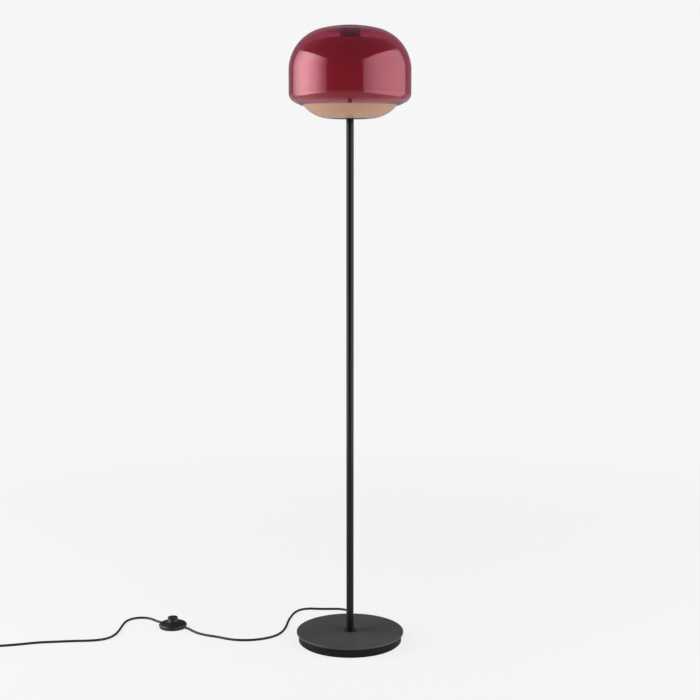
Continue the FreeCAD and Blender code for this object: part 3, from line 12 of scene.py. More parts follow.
import bmesh
import bpy
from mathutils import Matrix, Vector


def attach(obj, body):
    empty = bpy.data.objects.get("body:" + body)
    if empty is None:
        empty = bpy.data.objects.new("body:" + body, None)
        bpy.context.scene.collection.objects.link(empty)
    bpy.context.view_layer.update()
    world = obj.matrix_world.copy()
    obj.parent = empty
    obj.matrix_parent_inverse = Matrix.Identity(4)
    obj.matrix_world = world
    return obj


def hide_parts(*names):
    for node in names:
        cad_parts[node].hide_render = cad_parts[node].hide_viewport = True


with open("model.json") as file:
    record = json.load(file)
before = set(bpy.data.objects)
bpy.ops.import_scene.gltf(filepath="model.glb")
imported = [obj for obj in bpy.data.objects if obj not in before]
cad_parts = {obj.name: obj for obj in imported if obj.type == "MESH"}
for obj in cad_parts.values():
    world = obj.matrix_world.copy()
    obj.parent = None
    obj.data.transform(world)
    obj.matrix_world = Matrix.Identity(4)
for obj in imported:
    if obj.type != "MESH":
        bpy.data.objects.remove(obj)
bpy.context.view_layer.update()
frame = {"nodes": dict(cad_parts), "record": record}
record = frame["record"]

# %% Helpers for objects and nodes


def placed(name, data):
    """A new object in the scene."""
    made = bpy.data.objects.new(name, data)
    bpy.context.collection.objects.link(made)
    return made


def add_node(tree, kind, **settings):
    """A new node. A setting is one of its properties or, with _ for a space, one of its inputs."""
    made = tree.nodes.new(kind)
    for name, value in settings.items():
        if hasattr(made, name):
            setattr(made, name, value)
        else:
            made.inputs[name.replace("_", " ")].default_value = value
    return made


# %% [markdown]
# ## Camera
# The photograph was taken from a little above the middle of the lamp with a short telephoto lens.
# The ellipses of the base, the switch and the shade gave its height, its distance and its tilt.

# %% Set the camera
LENS_MM, SENSOR_MM = 71.15, 36
CAMERA_PLACE = (0, -3.324, 1.1656)
CAMERA_TILT = 0.1303
camera_data = bpy.data.cameras.new("view")
camera_data.lens = LENS_MM
camera_data.sensor_width = SENSOR_MM
camera = placed("view", camera_data)
camera.location = CAMERA_PLACE
camera.rotation_euler = (math.pi / 2 - CAMERA_TILT, 0, 0)
bpy.context.scene.camera = camera
bpy.context.scene.view_settings.view_transform = "Standard"

# %% [markdown]
# ## Finishes
# A finish is a Principled shader with a few nodes in front of it. `Finish` makes one and keeps
# its tree at hand, so that each finish below needs only the lines that make it special.

# %% Helpers for finishes


class Finish:
    """A material with one Principled shader, and short ways to add nodes to it."""

    def __init__(self, name, colour, roughness, **sockets):
        self.material = bpy.data.materials.new(name)
        self.material.use_nodes = True
        self.tree = self.material.node_tree
        self.shader = self.tree.nodes["Principled BSDF"]
        self.output = self.tree.nodes["Material Output"]
        self.shader.inputs["Base Color"].default_value = (*colour, 1)
        self.shader.inputs["Roughness"].default_value = roughness
        for socket, value in sockets.items():
            self.shader.inputs[socket.replace("_", " ")].default_value = value

    def node(self, kind, **settings):
        return add_node(self.tree, kind, **settings)

    def join(self, output, target):
        self.tree.links.new(output, target)

    def places(self):
        return self.node("ShaderNodeTexCoord").outputs["Object"]

    def noise(self, scale, detail=2.0):
        texture = self.node("ShaderNodeTexNoise", Scale=scale, Detail=detail)
        self.join(self.places(), texture.inputs["Vector"])
        return texture.outputs["Fac"]

    def spread(self, value, low, high):
        """Map a value from 0.3..0.7, where noise mostly lies, to low..high."""
        spreader = self.node("ShaderNodeMapRange", From_Min=0.3, From_Max=0.7,
                             To_Min=low, To_Max=high)
        self.join(value, spreader.inputs["Value"])
        return spreader.outputs["Result"]

    def blend(self, share, first, second):
        """A colour between two colours."""
        mixer = self.node("ShaderNodeMix", data_type="RGBA")
        mixer.inputs[6].default_value = (*first, 1)
        mixer.inputs[7].default_value = (*second, 1)
        self.join(share, mixer.inputs[0])
        return mixer.outputs[2]

    def bump(self, height, strength, distance):
        raised = self.node("ShaderNodeBump", Strength=strength, Distance=distance)
        self.join(height, raised.inputs["Height"])
        self.join(raised.outputs["Normal"], self.shader.inputs["Normal"])

    def vary(self, scale, first, second, rough_low, rough_high):
        """Let colour and roughness wander a little over the surface."""
        wander = self.noise(scale, 3.0)
        colour = self.blend(self.spread(wander, 0, 1), first, second)
        self.join(colour, self.shader.inputs["Base Color"])
        self.join(self.spread(wander, rough_low, rough_high), self.shader.inputs["Roughness"])


def from_srgb(*levels):
    """The linear colour of levels from 0 to 255."""
    shares = [level / 255 for level in levels]
    return tuple(share / 12.92 if share < 0.0404 else ((share + 0.055) / 1.055) ** 2.4
                 for share in shares)


# %% [markdown]
# Most pieces of a lamp are turned: their outline goes once round an axis. `turned_mesh` does that
# with
# Blender's spin. Its outline is a closed ring of (radius, height) points, which `arc` and
# `softened` help to draw.

# %% Helpers for turned pieces


def arc(centre, radius, first_angle, last_angle, steps=24):
    """Points on an arc, in the plane of radius and height, angles in radians from +radius."""
    turn = last_angle - first_angle
    angles = [first_angle + turn * step / steps for step in range(steps + 1)]
    return [(centre[0] + radius * math.cos(a), centre[1] + radius * math.sin(a)) for a in angles]


def softened(corners, steps=5):
    """An outline whose corners (radius, height, rounding) are each cut by a small arc."""
    points = []
    for index, (x, z, rounding) in enumerate(corners):
        here = Vector((x, z))
        before = (Vector(corners[index - 1][:2]) - here).normalized()
        after = (Vector(corners[(index + 1) % len(corners)][:2]) - here).normalized()
        if rounding == 0:
            points.append((x, z))
            continue
        start, end = here + before * rounding, here + after * rounding
        for step in range(steps + 1):
            share = step / steps
            spot = start * (1 - share) ** 2 + here * 2 * share * (1 - share) + end * share ** 2
            points.append((spot.x, spot.y))
    return points


def finished(name, mesh, material, body, slot, *nodes):
    """Put a mesh in the scene as the piece that stands for some CAD nodes."""
    piece = placed(name, mesh)
    mesh.materials.clear()
    mesh.materials.append(material)
    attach(piece, body)
    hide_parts(*nodes)
    return piece


def smooth_mesh(shape, name, sharp=None):
    """A smooth mesh from a bmesh. Edges bent by more than `sharp` degrees stay sharp."""
    mesh = bpy.data.meshes.new(name)
    shape.to_mesh(mesh)
    shape.free()
    mesh.shade_smooth()
    if sharp is not None:
        mesh.set_sharp_from_angle(angle=math.radians(sharp))
    return mesh


def turned_mesh(name, outline, centre=(0, 0), steps=160):
    """Turn a closed outline of (radius, height) points once round an upright axis."""
    shape = bmesh.new()
    ring = [shape.verts.new((centre[0] + x, centre[1], z)) for x, z in outline]
    edges = [shape.edges.new((ring[i - 1], ring[i])) for i in range(len(ring))]
    bmesh.ops.spin(shape, geom=ring + edges, cent=(*centre, 0), axis=(0, 0, 1),
                   angle=math.tau, steps=steps, use_duplicate=False)
    bmesh.ops.remove_doubles(shape, verts=shape.verts, dist=1e-6)
    bmesh.ops.dissolve_degenerate(shape, edges=shape.edges, dist=1e-7)
    bmesh.ops.recalc_face_normals(shape, faces=shape.faces)
    return smooth_mesh(shape, name, sharp=32)


# %% [markdown]
# ## The cord first
# The cord leaves a strain relief at the rear of the base, goes round on the floor to the foot
# switch and on past the left edge of the picture. What the picture doesn't show is wound into a
# neat coil of four turns in two layers. A NURBS curve suits it, because it is smooth and needs
# few points.

# %% The two routes
CORD_DIAMETER = 0.006
LIE = 0.00305        # height of the cord's middle where it lies on the floor
SWITCH_CENTRE = Vector((-0.4538, 0.100, 0))
SWITCH_TURN = math.radians(148)
SWITCH_RADIUS = 0.0356
GLAND_RUN = 0.013
GLAND_HEIGHT = 0.0064


def on_switch_axis(side, outside=0.0):
    """Where the cord enters the switch, on its side towards +X (-1) or -X (1), or a way outside."""
    reach = (SWITCH_RADIUS + outside) * side
    return (SWITCH_CENTRE.x + reach * math.cos(SWITCH_TURN),
            SWITCH_CENTRE.y + reach * math.sin(SWITCH_TURN), GLAND_HEIGHT)


RELIEF_TIP = (0, 0.156, 0.0085)
ROUTE_TO_SWITCH = [
    (0, 0.166, 0.0085), (0, 0.185, 0.0064), (0, 0.208, LIE), (-0.006, 0.230, LIE),
    (-0.028, 0.241, LIE), (-0.057, 0.240, LIE), (-0.083, 0.240, LIE), (-0.108, 0.244, LIE),
    (-0.131, 0.236, LIE), (-0.146, 0.212, LIE), (-0.154, 0.179, LIE), (-0.160, 0.142, LIE),
    (-0.163, 0.096, LIE), (-0.171, 0.055, LIE), (-0.188, 0.023, LIE), (-0.218, 0.002, LIE),
    (-0.256, -0.008, LIE), (-0.296, -0.003, LIE), (-0.333, 0.019, LIE), (-0.356, 0.028, LIE),
    (-0.378, 0.041, LIE), (-0.397, 0.057, 0.0039)]
ROUTE_TO_COIL = [
    (-0.506, 0.141, 0.0048), (-0.5166, 0.158, LIE), (-0.534, 0.1676, LIE), (-0.554, 0.1669, LIE),
    (-0.5708, 0.156, LIE), (-0.581, 0.1365, LIE), (-0.584, 0.106, LIE), (-0.586, 0.068, LIE),
    (-0.591, 0.030, LIE), (-0.608, 0.002, LIE), (-0.640, -0.010, LIE), (-0.684, -0.012, LIE),
    (-0.730, -0.018, LIE), (-0.773, -0.023, LIE), (-0.814, -0.037, LIE), (-0.853, -0.047, 0.0032)]

# %% The stored coil
COIL_TURNS_PER_LAYER = 2
COIL_PITCH = 0.0068
COIL_OUTER = 0.039
COIL_LOW = 0.004
PLUG_LIE = 0.00685
UNWIND = 0.012
LAST_TURN = 0.25
REVERSAL = 0.25      # turns before and after the place where the winding changes layer
DROP_FROM = 0.2      # share of the last turn after which the cord sinks to the plug
POINTS_PER_TURN = 24
LAST_RUN = 0.028
COIL_ENTRY = Vector((-0.915, -0.064, 0))
COIL_HEADING = Vector((-0.955, -0.296, 0)).normalized()
COIL_CENTRE = COIL_ENTRY + Vector((-COIL_HEADING.y, COIL_HEADING.x, 0)) * COIL_OUTER
COIL_START = math.atan2(COIL_ENTRY.y - COIL_CENTRE.y, COIL_ENTRY.x - COIL_CENTRE.x)


def eased(share):
    share = min(max(share, 0.0), 1.0)
    return share * share * (3 - 2 * share)


def coil_point(turns, outward=0.0):
    """The cord's line after so many turns: in on the lower layer, up, and out on the upper one."""
    layer = COIL_TURNS_PER_LAYER
    from_reversal = abs(turns - layer)
    inward = layer - from_reversal
    if from_reversal < REVERSAL:
        inward = layer - (REVERSAL / 2 + from_reversal ** 2 / (2 * REVERSAL))
    leave = max((turns - 2 * layer) / LAST_TURN, 0.0)
    radius = COIL_OUTER - COIL_PITCH * inward + UNWIND * leave ** 2 + outward
    climb = COIL_PITCH * eased((turns - layer + REVERSAL) / (2 * REVERSAL))
    sunk = eased((leave - DROP_FROM) / (1 - DROP_FROM))
    height = COIL_LOW + climb - (COIL_LOW + COIL_PITCH - PLUG_LIE) * sunk
    angle = COIL_START + math.tau * turns
    return COIL_CENTRE + Vector((radius * math.cos(angle), radius * math.sin(angle), height))


def coil_heading(turns):
    return (coil_point(turns + 1e-4) - coil_point(turns - 1e-4)).normalized()


last = 2 * COIL_TURNS_PER_LAYER + LAST_TURN
# A NURBS line runs a little inside its points, so they stand a little outside the true coil.
lift_off = (1 / math.cos(math.pi / POINTS_PER_TURN) - 1) * COIL_OUTER * 0.5
wound = [coil_point(step / POINTS_PER_TURN, lift_off)
         for step in range(1, round(last * POINTS_PER_TURN))]
coil_end = coil_point(last)
plug_entry = coil_end + coil_heading(last) * CORD_DIAMETER
lead_in = coil_point(0) - coil_heading(0) * (CORD_DIAMETER + LAST_RUN)

# %% Lay the two cords


def laid_cord(name, points):
    """A round cord along a smooth NURBS line. Its points carry the radius, so its box fits it."""
    curve = bpy.data.curves.new(name, "CURVE")
    curve.dimensions = "3D"
    curve.bevel_depth = 1.0
    curve.bevel_resolution = 5
    curve.resolution_u = 6
    spline = curve.splines.new("NURBS")
    spline.points.add(len(points) - 1)
    for spot, point in zip(spline.points, points):
        spot.co = (*point, 1)
        spot.radius = CORD_DIAMETER / 2
    spline.order_u = 3
    spline.use_endpoint_u = True
    cord = placed(name, curve)
    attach(cord, "lamp")
    return cord


cord_a = laid_cord("cord_from_base", [RELIEF_TIP, *ROUTE_TO_SWITCH,
                                      on_switch_axis(-1, GLAND_RUN), on_switch_axis(-1)])
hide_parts("cord_to_switch")
cord_b = laid_cord("cord_from_switch", [on_switch_axis(1), on_switch_axis(1, GLAND_RUN),
                                        *ROUTE_TO_COIL, lead_in, coil_point(0), *wound,
                                        coil_end, plug_entry])
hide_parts("cord_to_coil", "cord_coil")

# %% [markdown]
# ## Glass
# The shade is clear red glass, blown thin. Light that falls on it from a lamp should pass through
# coloured, and a refracting shader alone would block it, so rays from lamps and rays of scattered
# light meet a tinted Transparent shader in its place. The eye still sees the real, bending glass.

# %% Red glass
RED_OF_WALL = (0.60, 0.140, 0.230)
RED_AT_GRAZING = (0.36, 0.090, 0.145)
PINK_OF_GLOSS = (1.0, 0.75, 0.83, 1.0)
SEED_SCALE, SEED_REACH, SEED_HEIGHT = 95.0, 0.09, 0.25


def red_glass():
    finish = Finish("red_glass", RED_OF_WALL, 0.02, IOR=1.5, Transmission_Weight=1.0,
                    Specular_Tint=PINK_OF_GLOSS)
    edge = finish.node("ShaderNodeLayerWeight", Blend=0.5)
    depth = finish.node("ShaderNodeMapRange", From_Min=0.40, From_Max=0.75)
    finish.join(edge.outputs["Facing"], depth.inputs["Value"])
    colour = finish.blend(depth.outputs["Result"], RED_OF_WALL, RED_AT_GRAZING)
    finish.join(colour, finish.shader.inputs["Base Color"])
    slow = finish.noise(14.0, 1.0)
    seeds = finish.node("ShaderNodeTexVoronoi", Scale=SEED_SCALE)
    finish.join(finish.places(), seeds.inputs["Vector"])
    dots = finish.node("ShaderNodeMapRange", From_Max=SEED_REACH, To_Min=1.0, To_Max=0.0)
    finish.join(seeds.outputs["Distance"], dots.inputs["Value"])
    wave = finish.node("ShaderNodeMath", operation="MULTIPLY_ADD")
    finish.join(dots.outputs["Result"], wave.inputs[0])
    wave.inputs[1].default_value = SEED_HEIGHT
    finish.join(slow, wave.inputs[2])
    finish.bump(wave.outputs[0], 0.10, 0.0008)
    through = finish.node("ShaderNodeBsdfTransparent")
    through.inputs["Color"].default_value = (*(math.sqrt(level) for level in RED_OF_WALL), 1)
    path = finish.node("ShaderNodeLightPath")
    light = finish.node("ShaderNodeMath", operation="MAXIMUM")
    finish.join(path.outputs["Is Shadow Ray"], light.inputs[0])
    finish.join(path.outputs["Is Diffuse Ray"], light.inputs[1])
    choice = finish.node("ShaderNodeMixShader")
    finish.join(light.outputs[0], choice.inputs[0])
    finish.join(finish.shader.outputs[0], choice.inputs[1])
    finish.join(through.outputs[0], choice.inputs[2])
    finish.join(choice.outputs[0], finish.output.inputs["Surface"])
    return finish.material


# %% [markdown]
# Opal glass is milky: it scatters light, so it looks like smooth satin china with a little depth.
# A soft noise makes it a touch thicker here and thinner there, as blown glass is.

# %% Opal glass


def opal_glass():
    finish = Finish("opal_glass", (0.60, 0.33, 0.22), 0.34, Coat_Weight=0.25, Coat_Roughness=0.22)
    cloud = finish.spread(finish.noise(9.0, 2.0), 0, 1)
    colour = finish.blend(cloud, from_srgb(169, 127, 103), from_srgb(161, 118, 94))
    finish.join(colour, finish.shader.inputs["Base Color"])
    finish.bump(finish.noise(22.0, 1.0), 0.08, 0.0006)
    return finish.material


# %% Shade and diffuser outlines
LAMP_HEIGHT = 1.500
CROWN = 0.300
SHOULDER = 0.100
SHADE_RADIUS = 0.145
SHADE_WALL = 0.0035
RIM = 0.024
RIM_DROP = 0.157
LIP_SLOPE = 0.48
MOUTH = 0.1155
EDGE_ROUND = 0.0019
CAP_RADIUS = 0.054
CAP_CLEARANCE = 0.0003
SEAT = 1.4934
LAND = 1.4899
HOLE = 0.006
crown_centre = (0, LAMP_HEIGHT - CROWN)
shoulder_x = SHADE_RADIUS - SHOULDER
shoulder_rise = math.sqrt((CROWN - SHOULDER) ** 2 - shoulder_x ** 2)
shoulder_centre = (shoulder_x, crown_centre[1] + shoulder_rise)
rim_centre = (SHADE_RADIUS - RIM, LAMP_HEIGHT - RIM_DROP)
crown_edge = math.atan2(shoulder_rise, shoulder_x)
lip_angle = math.atan2(-1, LIP_SLOPE)


def shade_line(inset, first_radius):
    """The shade's outer or inner line from first_radius on the crown to the mouth."""
    crown = CROWN - inset
    line = arc(crown_centre, crown, math.acos(first_radius / crown), crown_edge, 14)
    line += arc(shoulder_centre, SHOULDER - inset, crown_edge, 0, 36)
    line += arc(rim_centre, RIM - inset, 0, lip_angle, 20)
    lip_x, lip_z = line[-1]
    line.append((MOUTH + EDGE_ROUND, lip_z - (lip_x - MOUTH - EDGE_ROUND) * LIP_SLOPE))
    return line


def shade_mesh():
    recess = CAP_RADIUS + CAP_CLEARANCE
    outer = shade_line(0, recess)
    inner_reach = math.sqrt((CROWN - SHADE_WALL) ** 2 - (LAND - crown_centre[1]) ** 2)
    inner = shade_line(SHADE_WALL, inner_reach)
    edge_out, edge_in = Vector(outer.pop()), Vector(inner.pop())
    edge = arc((edge_out + edge_in) / 2, EDGE_ROUND, -math.pi / 2, -3 * math.pi / 2, 10)
    outline = [(HOLE, SEAT), (recess, SEAT), *outer, *edge, *reversed(inner), (HOLE, LAND)]
    return turned_mesh("shade", outline, steps=224)


DIFFUSER_RADIUS = 0.131
DIFFUSER_LOW = 1.283
DIFFUSER_HIGH = 1.468
BOWL = 0.086
TOP_ARC = 0.068
DIFFUSER_WALL = 0.003
LAMP_OPENING = 0.0448


def diffuser_line(inset):
    """Top hole, top, shoulder, side, bowl and underside."""
    quarter = math.pi / 2
    top = (DIFFUSER_RADIUS - TOP_ARC, DIFFUSER_HIGH - TOP_ARC)
    low = (DIFFUSER_RADIUS - BOWL, DIFFUSER_LOW + BOWL)
    line = [(HOLE, DIFFUSER_HIGH - inset)]
    line += arc(top, TOP_ARC - inset, quarter, 0, 28)
    line += arc(low, BOWL - inset, 0, -quarter, 32)
    line.append((LAMP_OPENING, DIFFUSER_LOW + inset))
    return line


def diffuser_mesh():
    outline = diffuser_line(0) + list(reversed(diffuser_line(DIFFUSER_WALL)))
    return turned_mesh("diffuser", outline, steps=224)


# %% Place the glasses
red = red_glass()
opal = opal_glass()
finished("shade_blown", shade_mesh(), red, "lamp", "red_glass", "shade")
finished("diffuser_blown", diffuser_mesh(), opal, "lamp", "opal_glass", "diffuser")

# %% [markdown]
# ## Black metal
# Pole, base and cap are steel with a satin black coat. Sprayed lacquer dries with a very fine
# orange peel, which the light shows as a slightly broken gloss, and handling leaves faint duller
# patches.

# %% Satin black lacquer


def black_lacquer(name, level, roughness, grain, shine=0.4):
    finish = Finish(name, (level, level, level * 0.97), roughness, Specular_IOR_Level=shine)
    darker = (level * 0.82, level * 0.82, level * 0.8)
    lighter = (level * 1.15, level * 1.17, level * 1.13)
    finish.vary(7.0, darker, lighter, roughness - 0.05, roughness + 0.06)
    finish.bump(finish.noise(grain, 3.0), 0.22, 0.00012)
    return finish.material


pole_black = black_lacquer("pole_lacquer", 0.006, 0.24, 900.0, 0.2)
# The base's lacquer is painted lighter than the pole's and the cap's: painted light, standing in
# for the light that falls on the base's top.
lit_base_black = black_lacquer("lit_base_lacquer", 0.050, 0.48, 700.0, 0.3)
cap_black = black_lacquer("cap_lacquer", 0.020, 0.40, 900.0)
weight_black = black_lacquer("weight_paint", 0.007, 0.55, 420.0, 0.12)

# %% Pole, base plate, collar, cap and spacer
PLATE, PLATE_HOLE, PLATE_EDGE = 0.1325, 0.0052, 0.0012
PLATE_LOW, PLATE_HIGH = 0.022, 0.0265
POLE, POLE_BORE, POLE_TOP = 0.009, 0.0075, 1.2845
COLLAR, COLLAR_BORE, COLLAR_TOP = 0.015, 0.00905, 0.0305
plate_outline = softened([
    (PLATE_HOLE, PLATE_LOW, 0), (PLATE, PLATE_LOW, PLATE_EDGE),
    (PLATE, PLATE_HIGH, PLATE_EDGE), (PLATE_HOLE, PLATE_HIGH, 0)])
finished("base_plate_lacquered", turned_mesh("base_plate", plate_outline, steps=224),
         lit_base_black, "lamp", "black_metal", "base_plate")
pole_outline = softened([
    (POLE_BORE, PLATE_HIGH, 0), (POLE, PLATE_HIGH, 0),
    (POLE, POLE_TOP, 0.0005), (POLE_BORE, POLE_TOP, 0)], 3)
finished("pole_lacquered", turned_mesh("pole", pole_outline, steps=96),
         pole_black, "lamp", "black_metal", "pole_tube")
collar_outline = softened([
    (COLLAR_BORE, PLATE_HIGH, 0), (COLLAR, PLATE_HIGH, 0.0003),
    (COLLAR, COLLAR_TOP, 0.0013), (COLLAR_BORE, COLLAR_TOP, 0.0004)])
finished("collar_lacquered", turned_mesh("collar", collar_outline, steps=96),
         pole_black, "lamp", "black_metal", "pole_collar")
CAP_LOW, CAP_EDGE = 1.4942, 0.0003
STUD_HOLE, STUD_DEPTH = 0.004, 0.0036
cap_edge = LAMP_HEIGHT - CROWN + math.sqrt(CROWN ** 2 - CAP_RADIUS ** 2)
cap_top = arc(crown_centre, CROWN, math.acos((CAP_RADIUS - 0.0006) / CROWN), math.pi / 2, 20)
cap_outline = [(STUD_HOLE, CAP_LOW), (CAP_RADIUS - CAP_EDGE, CAP_LOW),
               (CAP_RADIUS, CAP_LOW + CAP_EDGE), (CAP_RADIUS, cap_edge - 0.0004), *cap_top,
               (0, CAP_LOW + STUD_DEPTH), (STUD_HOLE, CAP_LOW + STUD_DEPTH)]
finished("cap_lacquered", turned_mesh("cap", cap_outline, steps=160),
         cap_black, "lamp", "black_metal", "top_cap")
SPACER_LOW, SPACER_HIGH, SPACER_FLOOR = 1.469, 1.4889, 0.004
SPACER, SPACER_BORE, SPACER_HOLE = 0.0245, 0.0205, 0.0042
spacer_outline = softened([
    (SPACER_HOLE, SPACER_LOW, 0), (SPACER, SPACER_LOW, 0.0006), (SPACER, SPACER_HIGH, 0.0006),
    (SPACER_BORE, SPACER_HIGH, 0.0003), (SPACER_BORE, SPACER_LOW + SPACER_FLOOR, 0),
    (SPACER_HOLE, SPACER_LOW + SPACER_FLOOR, 0)])
finished("spacer_lacquered", turned_mesh("spacer", spacer_outline, steps=128),
         cap_black, "lamp", "black_metal", "glass_spacer")

# %% [markdown]
# ## Plastics, rubber and bare metal
# Moulded plastic has a fine spark-eroded grain and even, dull highlights. The cord's sheath is
# softer and picks up a little dust. Zinc, brass and the bulb's aluminium are bare metals with
# fine brushing.

# %% Finishes for the smaller pieces


def moulded(name, level, roughness, grain=1400.0):
    finish = Finish(name, (level, level, level), roughness, Specular_IOR_Level=0.35)
    finish.vary(60.0, (level * 0.85,) * 3, (level * 1.2,) * 3, roughness - 0.05, roughness + 0.05)
    finish.bump(finish.noise(grain, 2.0), 0.3, 0.0001)
    return finish.material


def bare_metal(name, colour, roughness):
    finish = Finish(name, colour, roughness, Metallic=1.0)
    duller = tuple(level * 0.8 for level in colour)
    finish.vary(140.0, duller, colour, roughness - 0.07, roughness + 0.1)
    finish.bump(finish.noise(1800.0, 1.0), 0.12, 0.00005)
    return finish.material


def painted_ceramic():
    finish = Finish("white_ceramic", (0.80, 0.78, 0.74), 0.5)
    finish.vary(90.0, (0.74, 0.72, 0.68), (0.84, 0.82, 0.79), 0.42, 0.6)
    return finish.material


def frosted_bulb():
    finish = Finish("frosted_bulb", (0.86, 0.86, 0.84), 0.42)
    finish.vary(40.0, (0.82, 0.82, 0.80), (0.90, 0.90, 0.88), 0.36, 0.5)
    return finish.material


SLOT_FINISHES = {
    "black_metal": lit_base_black,
    "cast_weight": weight_black,
    "cover_steel": black_lacquer("cover_paint", 0.04, 0.42, 600.0),
    "zinc_steel": bare_metal("zinc_plate", (0.62, 0.62, 0.60), 0.32),
    "brass": bare_metal("brass", (0.80, 0.60, 0.27), 0.26),
    "bulb_cap": bare_metal("bulb_aluminium", (0.78, 0.78, 0.77), 0.3),
    "rubber": moulded("soft_rubber", 0.020, 0.75, 900.0),
    "cord_sheath": moulded("cord_sheath", 0.009, 0.5, 700.0),
    "black_moulding": moulded("black_moulding", 0.008, 0.44),
    "ceramic": painted_ceramic(),
    "bulb_glass": frosted_bulb(),
    "opal_glass": opal,
    "red_glass": red,
}
for cord in (cord_a, cord_b):
    cord.data.materials.append(SLOT_FINISHES["cord_sheath"])

# %% [markdown]
# ## Smooth copies of the other CAD pieces
# A CAD node is a set of loose triangles, which shows flat facets on round forms. A merged copy
# with sharp edges kept where two faces meet at more than 30 degrees shades smoothly, so each
# piece that can be seen from outside gets one. What is sealed inside keeps its node and gets only
# its finish.

# %% Copies


def smooth_copy(node, slot, body="lamp"):
    mesh = bpy.data.objects[node].data.copy()
    shape = bmesh.new()
    shape.from_mesh(mesh)
    bmesh.ops.remove_doubles(shape, verts=shape.verts, dist=2e-6)
    shape.to_mesh(mesh)
    shape.free()
    mesh.shade_smooth()
    mesh.set_sharp_from_angle(angle=math.radians(30))
    return finished(node + "_smooth", mesh, SLOT_FINISHES[slot], body, slot, node)


SEEN = ("base_weight", "foot_ring", "base_cover", "cord_bush", "closing_disc",
        "disc_ring", "rubber_washers", "cap_seal", "switch_base", "switch_feet", "switch_cover",
        "plug_pins", "plug_relief", "bulb_glass", "bulb_screw_cap", "holder_cap", "holder_skirt")
slots = {part["node"]: part["material_slot"] for part in record["subparts"]}
for node in SEEN:
    smooth_copy(node, slots[node])
smooth_copy("switch_button", slots["switch_button"], "foot_button")
replaced = {"base_cover_screws", "switch_base_screws", "switch_button", "plug_body", "coil_tie",
            "shade", "diffuser", "base_plate", "pole_tube", "pole_collar", "top_cap",
            "glass_spacer", "cord_to_switch", "cord_to_coil", "cord_coil", *SEEN}
for node in frame["nodes"]:
    if node not in replaced:
        mesh = bpy.data.objects[node].data
        mesh.materials.clear()
        mesh.materials.append(SLOT_FINISHES[slots[node]])

# %% [markdown]
# ## Screws and ribs
# Screws round a circle and ribs along a strain relief repeat by a rule, so Geometry Nodes place
# them. One tree serves both: it takes one small mesh and a count, and shifts, turns and scales
# each copy a little more than the one before it. The result becomes a plain mesh, because an
# exported model can't hold live copies.

# %% A tree that repeats a mesh


def repeating_tree():
    tree = bpy.data.node_groups.new("repeat_a_mesh", "GeometryNodeTree")
    sockets = {}
    for name, kind in (("Mesh", "Geometry"), ("Count", "Int"), ("Start", "Vector"),
                       ("Step", "Vector"), ("Turn", "Float"), ("Growth", "Float"),
                       ("Finish", "Material")):
        made = tree.interface.new_socket(name, in_out="INPUT", socket_type="NodeSocket" + kind)
        sockets[name] = made.identifier
    tree.interface.new_socket("Geometry", in_out="OUTPUT", socket_type="NodeSocketGeometry")

    def node(kind, **settings):
        return add_node(tree, kind, **settings)

    given = node("NodeGroupInput")
    line = node("GeometryNodeMeshLine")
    tree.links.new(given.outputs["Count"], line.inputs["Count"])
    tree.links.new(given.outputs["Start"], line.inputs["Start Location"])
    tree.links.new(given.outputs["Step"], line.inputs["Offset"])
    index = node("GeometryNodeInputIndex")
    turned = node("ShaderNodeMath", operation="MULTIPLY")
    tree.links.new(index.outputs[0], turned.inputs[0])
    tree.links.new(given.outputs["Turn"], turned.inputs[1])
    round_z = node("ShaderNodeCombineXYZ")
    tree.links.new(turned.outputs[0], round_z.inputs["Z"])
    grown = node("ShaderNodeMath", operation="MULTIPLY_ADD")
    tree.links.new(index.outputs[0], grown.inputs[0])
    tree.links.new(given.outputs["Growth"], grown.inputs[1])
    grown.inputs[2].default_value = 1.0
    wide = node("ShaderNodeCombineXYZ")
    wide.inputs["Y"].default_value = 1.0
    tree.links.new(grown.outputs[0], wide.inputs["X"])
    tree.links.new(grown.outputs[0], wide.inputs["Z"])
    copies = node("GeometryNodeInstanceOnPoints")
    tree.links.new(line.outputs["Mesh"], copies.inputs["Points"])
    tree.links.new(given.outputs["Mesh"], copies.inputs["Instance"])
    tree.links.new(round_z.outputs[0], copies.inputs["Rotation"])
    tree.links.new(wide.outputs[0], copies.inputs["Scale"])
    real = node("GeometryNodeRealizeInstances")
    tree.links.new(copies.outputs["Instances"], real.inputs["Geometry"])
    dressed = node("GeometryNodeSetMaterial")
    tree.links.new(real.outputs["Geometry"], dressed.inputs["Geometry"])
    tree.links.new(given.outputs["Finish"], dressed.inputs["Material"])
    tree.links.new(dressed.outputs["Geometry"], node("NodeGroupOutput").inputs["Geometry"])
    return tree, sockets


REPEAT, REPEAT_INPUTS = repeating_tree()


def evaluated_mesh(maker, name):
    """The plain mesh of an object's modifiers, after which the object goes."""
    bpy.context.view_layer.update()
    evaluated = maker.evaluated_get(bpy.context.evaluated_depsgraph_get())
    mesh = bpy.data.meshes.new_from_object(evaluated)
    bpy.data.objects.remove(maker)
    mesh.name = name
    return mesh


def repeated(name, mesh, material, **inputs):
    """Copies of a mesh by the repeating tree, as one plain mesh."""
    maker = placed(name, mesh)
    modifier = maker.modifiers.new("repeat", "NODES")
    modifier.node_group = REPEAT
    for socket, value in {"Finish": material, **inputs}.items():
        modifier[REPEAT_INPUTS[socket]] = value
    result = evaluated_mesh(maker, name)
    print(name, "has", len(result.polygons), "faces")
    return result


# %% One screw with a cross recess
SCREW_HEAD, SCREW_SHANK, SCREW_HEAD_HEIGHT = 0.0024, 0.00125, 0.0012
CROSS_ARM, CROSS_HALF_WIDTH, CROSS_DEPTH = 0.0014, 0.0003, 0.0007
CUTTER_BELOW = 0.0002


